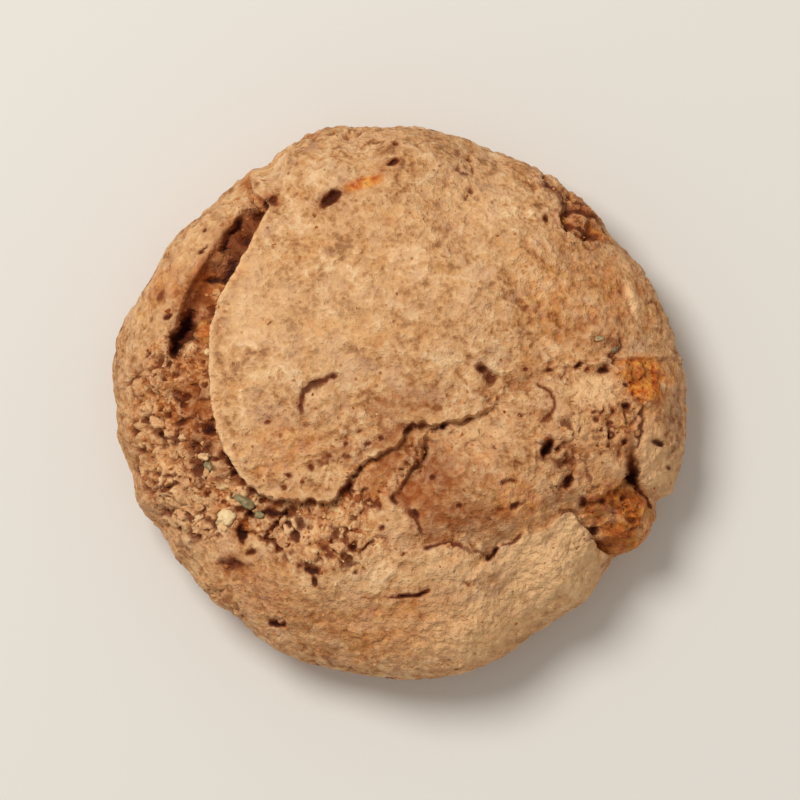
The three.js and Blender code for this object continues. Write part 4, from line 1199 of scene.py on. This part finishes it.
def crust_finish(colours):
    """Baked crust over porous crumb: mottled tan, browner and redder where it is bare, dark in its
    holes and creases, partly darker baked crumb and partly painted shade, with painted highlights
    on its crests and raised edges and painted shade in its dips, and orange where the walnut's oil
    has soaked through."""
    f = Finish("crust and crumb")
    tones = tones_of(colours)

    # Whole crust: mottled from dark to pale, warmer and pinker in places, with rusty specks.
    pebble = f.noise(1.15, 3, 0.6)
    grain = f.noise(0.6, 2, 0.5)
    soft = f.noise(3.4, 3, 0.6, 0.5)
    mottle = f.plus(f.times(pebble, 0.34), f.times(grain, 0.22))
    mottle = f.plus(mottle, f.times(soft, 0.44))
    crust = f.ramp(
        f.range(mottle, 0.4, 0.6, linear_rise=True),
        (0, tones["crust_dark"]), (0.24, tones["crust_brown"]), (0.46, tones["crust"]),
        (0.7, tones["crust_light"]), (1, tones["crust_pale"]),
    )
    broad = f.range(f.noise(7, 3, 0.55), 0.36, 0.64)
    crust = f.mix(f.times(broad, 0.25), crust, tones["crust_brown"])
    warm = f.plus(f.noise(4.6, 2, 0.6, 0.8), f.times(f.noise(1.6, 2), 0.5))
    crust = f.mix(f.range(warm, 0.8, 0.96, 0, 0.42), crust, tones["crust_orange"])
    crust = f.mix(f.range(warm, 0.72, 0.56, 0, 0.5), crust, tones["crust_pink"])
    specks = f.times(f.range(f.cells(1.5), 0.2, 0.1), f.range(soft, 0.46, 0.54))
    crust = f.mix(f.times(specks, 0.75), crust, tones["rust"])

    # Bare crumb: each lump has its own tone, broken up by finer noise.
    tint = f.times(f.value("tint"), 0.4)
    crumbs = f.plus(f.range(f.noise(1.3, 3, 0.65, 0.6), 0.36, 0.64, 0, 0.35), tint)
    crumbs = f.plus(crumbs, f.range(f.noise(0.55, 3, 0.6, 0.3), 0.36, 0.64, 0, 0.25))
    crumb = f.ramp(
        crumbs, (0.08, tones["rust_dark"]), (0.22, tones["rust"]), (0.36, tones["crumb_brown"]),
        (0.5, tones["crumb_light"]), (0.66, tones["crust_light"]), (0.84, tones["crumb_gold"]),
    )
    crumb = f.mix(f.range(f.noise(2.4, 2, 0.6, 0.6), 0.5, 0.64, 0, 0.6), crumb, tones["rust"])

    # Over both: painted highlights on crests and painted shade in dips, oil, toasting that is in
    # places painted shade, dust that is in places painted light, the browned foot, and the dark of
    # holes, partly darker crumb and partly painted shade.
    colour = f.mix(f.value("bare"), crust, crumb)
    crest_shading = f.value("crest_shading")
    # Painted highlight on crests, toward the palest crust, and painted shade in dips, toward rust.
    colour = f.mix(f.range(crest_shading, 0.03, 0.3, 0, 0.32), colour, tones["crust_pale"])
    colour = f.mix(f.range(crest_shading, -0.03, -0.4, 0, 0.7), colour, tones["rust"])
    oil = f.ramp(
        f.range(f.noise(1.1, 3, 0.6, 0.5), 0.36, 0.64, linear_rise=True),
        (0, tones["stain_deep"]), (0.45, tones["stain"]), (1, tones["stain_gold"]),
    )
    stain = f.times(f.value("stain"), f.range(grain, 0.35, 0.6, 0.7, 1))
    colour = f.mix(stain, colour, oil)
    # Toasting toward rust, less on crests: partly real toasting, partly painted shade.
    toast_and_shade = f.times(f.value("toast_and_shade"), f.range(pebble, 0.35, 0.65, 1, 0.6))
    toast_and_shade = f.times(toast_and_shade, f.range(crest_shading, -0.08, 0.3, 1, 0.6))
    colour = f.mix(toast_and_shade, colour, tones["rust"])
    # Pale dust, partly real and partly painted light on edges, ridges and slopes turned from the
    # key light.
    dust_and_light = f.times(f.value("dust_and_light"), f.range(f.noise(0.8, 2), 0.3, 0.6, 0.55, 1))
    colour = f.mix(dust_and_light, colour, tones["dust_and_light"])
    browned = f.times(f.value("browned"), f.range(pebble, 0.35, 0.65, 0.6, 0.9))
    colour = f.mix(browned, colour, tones["base_brown"])
    # The cavity value paints dark rust and near black: partly the darker baked crumb inside holes,
    # partly painted shade in holes, cracks, creases, pores and deep ground.
    cavity_shade = f.value("cavity_shade")
    colour = f.mix(f.range(cavity_shade, 0.08, 0.55, 0, 0.88), colour, tones["rust_dark"])
    colour = f.mix(f.range(cavity_shade, 0.5, 0.95, 0, 0.95), colour, tones["cavity_shade"])

    normal = f.bump(grain, 0.32)
    normal = f.bump(pebble, 0.5, below=normal)
    normal = f.bump(f.noise(0.26, 2), 0.09, below=normal)
    roughness = f.range(grain, 0.35, 0.65, 0.72, 0.9)
    return f.finish(colour, normal, roughness)


def grain_finish(colours):
    """Loose grains of crumb, each of one tone that changes from grain to grain."""
    f = Finish("grains of crumb")
    tones = tones_of(colours)
    colour = f.ramp(
        f.value("tone"), (0, tones["rust"]), (0.2, tones["crumb_brown"]),
        (0.5, tones["crumb_light"]), (0.85, tones["crust_light"]), (1, tones["crumb_gold"]),
    )
    colour = f.mix(f.range(f.noise(0.3, 2), 0.42, 0.7, 0, 0.5), colour, tones["rust"])
    return f.finish(colour, f.bump(f.noise(0.3, 2), 0.08), 0.85)


def walnut_finish(colours):
    """Broken walnut: cream kernel, or its papery skin, grey-green to brown, in fine blotches."""
    f = Finish("walnut")
    tones = tones_of(colours)
    blotch = f.range(f.noise(0.7, 3, 0.6, 0.4), 0.35, 0.65, -0.12, 0.12)
    colour = f.ramp(
        f.plus(f.value("skin"), blotch), (0, tones["kernel"]), (0.35, tones["crust_light"]),
        (0.66, tones["kernel_skin"]), (1, tones["kernel_brown"]),
    )
    normal = f.bump(f.noise(0.35, 3, 0.6), 0.1)
    return f.finish(colour, normal, f.range(blotch, -0.12, 0.12, 0.5, 0.75))


# --------------------------------------------------------------------------- sizes and colours


def length_property(name, description, millimetres):
    """A length, given in millimetres and kept in metres."""
    return FloatProperty(
        name=name, description=description, default=millimetres * MM, min=0, unit="LENGTH",
        precision=4,
    )


def colour_property(name, description, red, green, blue):
    """A colour, given from 0 to 255 and kept from 0 to 1."""
    return FloatVectorProperty(
        name=name, description=description, subtype="COLOR_GAMMA", size=3, min=0, max=1,
        default=(red / 255, green / 255, blue / 255),
    )


class CookieSizes(bpy.types.PropertyGroup):
    """Sizes of the cookie and its relief."""

    radius: length_property("Radius", "Mean radius of the outline at the waist", 34)
    height: length_property("Height", "Height from underside to crown before the relief", 24)
    pore_depth: length_property("Pore depth", "Depth of the pores in bare crumb", 0.75)
    crown_cells: IntProperty(name="Crown cells", description="Cells across the crown", default=232)
    side_rows: IntProperty(name="Side rows", description="Rows of cells down the side", default=36)
    under_rows: IntProperty(name="Underside rings", description="Rings below", default=8)
    grain_count: IntProperty(name="Grains", description="Number of loose grains", default=800)
    grain_size: length_property("Grain size", "Radius of a middling grain of crumb", 0.24)


class CookieColours(bpy.types.PropertyGroup):
    """Colours of crust, crumb and walnut."""

    crust: colour_property("Crust", "Baked crust", 210, 160, 110)
    crust_light: colour_property("Light crust", "Lighter mottling", 224, 178, 128)
    # The palest crust is also the painted highlight on crests and raised edges.
    crust_pale: colour_property("Pale crust", "Palest specks and raised edges", 240, 204, 158)
    crust_brown: colour_property("Brown crust", "Darker mottling", 184, 130, 82)
    crust_dark: colour_property("Dark crust", "Darkest mottling", 138, 86, 46)
    crumb_light: colour_property("Light crumb", "Lighter bare crumb", 216, 154, 97)
    crumb_brown: colour_property("Brown crumb", "Darker bare crumb", 182, 116, 65)
    crumb_gold: colour_property("Golden crumb", "Palest bare crumb", 244, 206, 150)
    rust: colour_property("Rust", "Toasted red-brown", 152, 80, 32)
    # Dark rust and the cavity colour are partly the darker baked crumb and partly painted shade in
    # holes, cracks, creases and pores.
    rust_dark: colour_property("Dark rust", "Sides of holes", 108, 48, 18)
    cavity_shade: colour_property("Cavity", "Bottom of holes and cracks", 54, 19, 6)
    crust_orange: colour_property("Orange crust", "Crust where it baked warmer", 214, 148, 84)
    crust_pink: colour_property("Pink crust", "Crust where it stayed paler", 206, 162, 126)
    stain: colour_property("Stain", "Orange where oil has soaked through", 214, 116, 32)
    stain_deep: colour_property("Deep stain", "Darkest oil stain", 172, 72, 22)
    stain_gold: colour_property("Golden stain", "Palest oil stain", 236, 166, 72)
    kernel: colour_property("Kernel", "Cream inside of a walnut", 238, 214, 164)
    kernel_skin: colour_property("Kernel skin", "Grey-green papery skin", 138, 132, 96)
    kernel_brown: colour_property("Brown kernel skin", "Toasted papery skin", 126, 88, 56)
    # Pale dust, also used as painted highlight and painted light.
    dust_and_light: colour_property("Dust", "Pale dusty edges", 240, 194, 142)
    base_brown: colour_property("Browned base", "Underside and foot", 150, 96, 56)


class CookieStage(bpy.types.PropertyGroup):
    """Floor, light and camera."""

    camera_distance: length_property("Camera distance", "From the cookie's middle", 1200)
    view_width: length_property("View width", "Width that the camera sees at the cookie", 98)
    camera_rise: FloatProperty(
        name="Camera rise", description="Angle of the camera above the floor",
        default=math.radians(86), unit="ROTATION",
    )
    key_power: FloatProperty(
        name="Key light", description="Power of the large soft light", default=4.7, unit="POWER",
    )
    fill: FloatProperty(name="Fill", description="Strength of the light all round", default=0.44)
    floor_colour: colour_property("Floor", "Plain pale floor", 226, 224, 220)


# --------------------------------------------------------------------------- operators

shell_memory = {}  # the body's points, values and normals, for the pieces that lie on it


def settle(piece):
    """The piece rides on the cookie's one body."""
    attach(piece, "root")


def loose_piece(name, points, faces, values, material, smooth=False):
    """A piece of many loose bits, kept within the body's box and settled on it."""
    low, high = shell_memory["points"].min(0), shell_memory["points"].max(0)
    settle(mesh_object(name, np.clip(points, low, high), faces, values, material, smooth))


def pick_spots(rng, chance, count):
    """Points of the body picked at random by their chance, each at most once."""
    return rng.choice(len(chance), count, replace=False, p=chance / chance.sum())


def vertex_normals(points, faces):
    """Normals at a mesh's points: the sum of the face normals around each, weighted by area."""
    corners = points[faces]
    across = np.cross(corners[:, 1] - corners[:, 0], corners[:, 2] - corners[:, 0])
    total = np.stack([
        sum(np.bincount(faces[:, k], across[:, axis], len(points)) for k in range(3))
        for axis in range(3)
    ], 1)
    return total / np.maximum(np.linalg.norm(total, axis=1, keepdims=True), TINY)


class COOKIE_OT_body(bpy.types.Operator):
    """Make the cookie's body: crust, crumb, holes, cracks and underside as one closed surface"""

    bl_idname = "cookie.body"
    bl_label = "Cookie Body"

    def execute(self, context):
        sizes, colours = context.scene.cookie_sizes, context.scene.cookie_colours
        body = Body(sizes.radius / MM, sizes.height / MM)
        points, faces, values = build_shell(
            body, sizes.crown_cells, sizes.side_rows, sizes.under_rows, sizes.pore_depth / MM
        )
        low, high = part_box("cookie")
        points, scale = fit_to_box(points, np.array(low) / MM, np.array(high) / MM)
        if abs(scale - 1).max() > DRIFT_LIMIT:
            raise RuntimeError("the body's form has drifted from its solid")
        material = crust_finish(colours)
        piece = mesh_object("cookie_body", points, faces, values, material, smooth=True)
        settle(piece)
        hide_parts("cookie")
        shell_memory.update(points=points, values=values, normals=vertex_normals(points, faces))
        return {"FINISHED"}


class COOKIE_OT_grains(bpy.types.Operator):
    """Make the loose grains of crumb that cling where the crust is missing"""

    bl_idname = "cookie.grains"
    bl_label = "Crumb Grains"

    def execute(self, context):
        sizes, colours = context.scene.cookie_sizes, context.scene.cookie_colours
        points, values = shell_memory["points"], shell_memory["values"]
        rng = np.random.default_rng(GRAIN_SEED)
        coloured = np.maximum(values["stain"], 0.8 * values["toast_and_shade"])
        chance = values["bare"] ** 2 * (1 - values["cavity_shade"]) * (1 - 0.6 * coloured)
        chance = chance * (points[:, 2] > GRAINS_ABOVE)
        chance = chance + 0.02 * (points[:, 2] > STRAY_GRAINS_ABOVE)
        spots = pick_spots(rng, chance, sizes.grain_count)
        radii = sizes.grain_size / MM * rng.lognormal(0, 0.35, len(spots))
        radii = np.minimum(radii, LARGEST_GRAIN)
        places = points[spots] - shell_memory["normals"][spots] * (0.1 * radii)[:, None]
        grains, faces = scatter_balls(rng, places, radii, 0.5)
        tone = rng.uniform(0, 1, len(spots)) * (1 - 0.8 * coloured[spots])
        tone = np.repeat(tone, len(grains) // len(spots))
        loose_piece("crumb_grains", grains, faces, {"tone": tone}, grain_finish(colours))
        return {"FINISHED"}


class COOKIE_OT_walnut(bpy.types.Operator):
    """Make the bits of walnut that show in the bare crumb"""

    bl_idname = "cookie.walnut"
    bl_label = "Walnut Bits"

    def execute(self, context):
        points, normals = shell_memory["points"], shell_memory["normals"]
        crown = np.flatnonzero(points[:, 2] > WALNUT_ABOVE)
        parts, part_faces, skins, start = [], [], [], 0
        for number, (x, y, length, width, height, turn, skin) in enumerate(WALNUT_BITS):
            away = np.hypot(points[crown, 0] - x, points[crown, 1] - y)
            near = crown[away < 0.5 * length]
            if not len(near):
                raise RuntimeError(f"the bit of walnut at {x}, {y} lies outside the body")
            normal = unit(normals[near].mean(0))
            bit, bit_faces = walnut_bit(number, length, width, height, turn, normal)
            parts.append(bit + points[near].mean(0) + 0.1 * height * normal)
            part_faces.append(bit_faces + start)
            skins.append(np.full(len(bit), skin))
            start += len(bit)
        loose_piece(
            "walnut_bits", np.vstack(parts), np.vstack(part_faces),
            {"skin": np.concatenate(skins)}, walnut_finish(context.scene.cookie_colours),
            smooth=True,
        )
        return {"FINISHED"}


class COOKIE_OT_flakes(bpy.types.Operator):
    """Make the thin shards of crust that lie in the crumb beside the plates' edges"""

    bl_idname = "cookie.flakes"
    bl_label = "Crust Flakes"

    def execute(self, context):
        points, values = shell_memory["points"], shell_memory["values"]
        rng = np.random.default_rng(FLAKE_SEED)
        chance = np.clip(values["bare"] - 0.35, 0, 1) * (values["cavity_shade"] < 0.3)
        chance = chance * (points[:, 2] > FLAKES_ABOVE) * (1 - values["stain"])
        spots = pick_spots(rng, chance, FLAKES)
        radii = rng.uniform(*FLAKE_RADII, FLAKES)
        flakes, faces = thin_flakes(rng, points[spots], shell_memory["normals"][spots], radii)
        each = len(flakes) // FLAKES
        looks = {
            "bare": np.full(len(flakes), 0.3),
            "dust_and_light": np.repeat(rng.uniform(0, 0.5, FLAKES), each),
            "toast_and_shade": np.repeat(rng.uniform(0, 0.3, FLAKES), each),
            "tint": np.full(len(flakes), 0.6),
        }
        material = bpy.data.objects["cookie_body"].material_slots[0].material
        loose_piece("crust_flakes", flakes, faces, looks, material)
        return {"FINISHED"}


FLOOR_HALF = 1.5  # half of the floor's width in metres
FLOOR_GAP = 0.0002  # how far the floor lies below the cookie, in metres
KEY_SIZE = 0.35  # width of the key light in metres
KEY_PLACE = (-0.28, 0.26, 0.74)  # in metres
SENSOR = 36  # width of the camera's sensor in millimetres


class COOKIE_OT_stage(bpy.types.Operator):
    """Make the floor, the lights, the surroundings and the camera"""

    bl_idname = "cookie.stage"
    bl_label = "Stage"

    def execute(self, context):
        scene, stage = context.scene, context.scene.cookie_stage
        low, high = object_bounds()
        middle = (low + high) / 2

        mesh = bpy.data.meshes.new("floor")
        corners = np.array([(-1, -1, 0), (1, -1, 0), (1, 1, 0), (-1, 1, 0)]) * FLOOR_HALF
        corners[:, 2] = low.z - FLOOR_GAP
        mesh.from_pydata(corners, [], [(0, 1, 2, 3)])
        floor = placed("floor", mesh)
        f = Finish("floor")
        f.shader.inputs["Base Color"].default_value = linear(stage.floor_colour)
        f.shader.inputs["Roughness"].default_value = 0.9
        mesh.materials.append(f.material)
        floor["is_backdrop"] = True

        world = bpy.data.worlds.new("surroundings")
        world.use_nodes = True
        background = world.node_tree.nodes["Background"]
        background.inputs["Color"].default_value = (1.0, 0.94, 0.86, 1)
        background.inputs["Strength"].default_value = stage.fill
        scene.world = world

        lamp = bpy.data.lights.new("key", "AREA")
        lamp.shape = "DISK"
        lamp.size = KEY_SIZE
        lamp.energy = stage.key_power
        lamp.color = (1.0, 0.97, 0.92)
        key = placed("key", lamp)
        key.location = KEY_PLACE
        key.rotation_euler = (middle - key.location).to_track_quat("-Z", "Y").to_euler()

        camera_data = bpy.data.cameras.new("camera")
        camera_data.sensor_width = SENSOR
        camera_data.lens = SENSOR * stage.camera_distance / stage.view_width
        camera_data.clip_start = 0.01
        camera = placed("camera", camera_data)
        rise, away = stage.camera_rise, stage.camera_distance
        camera.location = (
            middle.x, middle.y - away * math.cos(rise), middle.z + away * math.sin(rise)
        )
        camera.rotation_euler = (math.pi / 2 - rise, 0, 0)
        scene.camera = camera
        scene.view_settings.view_transform = "Standard"
        return {"FINISHED"}


class COOKIE_PT_panel(bpy.types.Panel):
    """Sizes, colours and the steps that make the cookie"""

    bl_idname = "COOKIE_PT_panel"
    bl_label = "Walnut Cookie"
    bl_space_type = "VIEW_3D"
    bl_region_type = "UI"
    bl_category = "Walnut Cookie"

    def draw(self, context):
        layout, scene = self.layout, context.scene
        for operator in OPERATORS:
            layout.operator(operator.bl_idname)
        for group in (scene.cookie_sizes, scene.cookie_colours, scene.cookie_stage):
            box = layout.box()
            for key in type(group).__annotations__:
                box.prop(group, key)


GROUPS = {
    "cookie_sizes": CookieSizes, "cookie_colours": CookieColours, "cookie_stage": CookieStage,
}
OPERATORS = (
    COOKIE_OT_body, COOKIE_OT_grains, COOKIE_OT_walnut, COOKIE_OT_flakes, COOKIE_OT_stage,
)


def register():
    """The classes made known, and their groups hung on the scene."""
    for cls in (*GROUPS.values(), *OPERATORS, COOKIE_PT_panel):
        bpy.utils.register_class(cls)
    for name, group in GROUPS.items():
        setattr(bpy.types.Scene, name, PointerProperty(type=group))


def unregister():
    """What register did, undone."""
    for name in GROUPS:
        delattr(bpy.types.Scene, name)
    for cls in reversed((*GROUPS.values(), *OPERATORS, COOKIE_PT_panel)):
        bpy.utils.unregister_class(cls)


def main():
    """Every piece and the stage made."""
    register()
    bpy.ops.cookie.body()
    bpy.ops.cookie.grains()
    bpy.ops.cookie.walnut()
    bpy.ops.cookie.flakes()
    bpy.ops.cookie.stage()


if __name__ == "__main__":
    main()
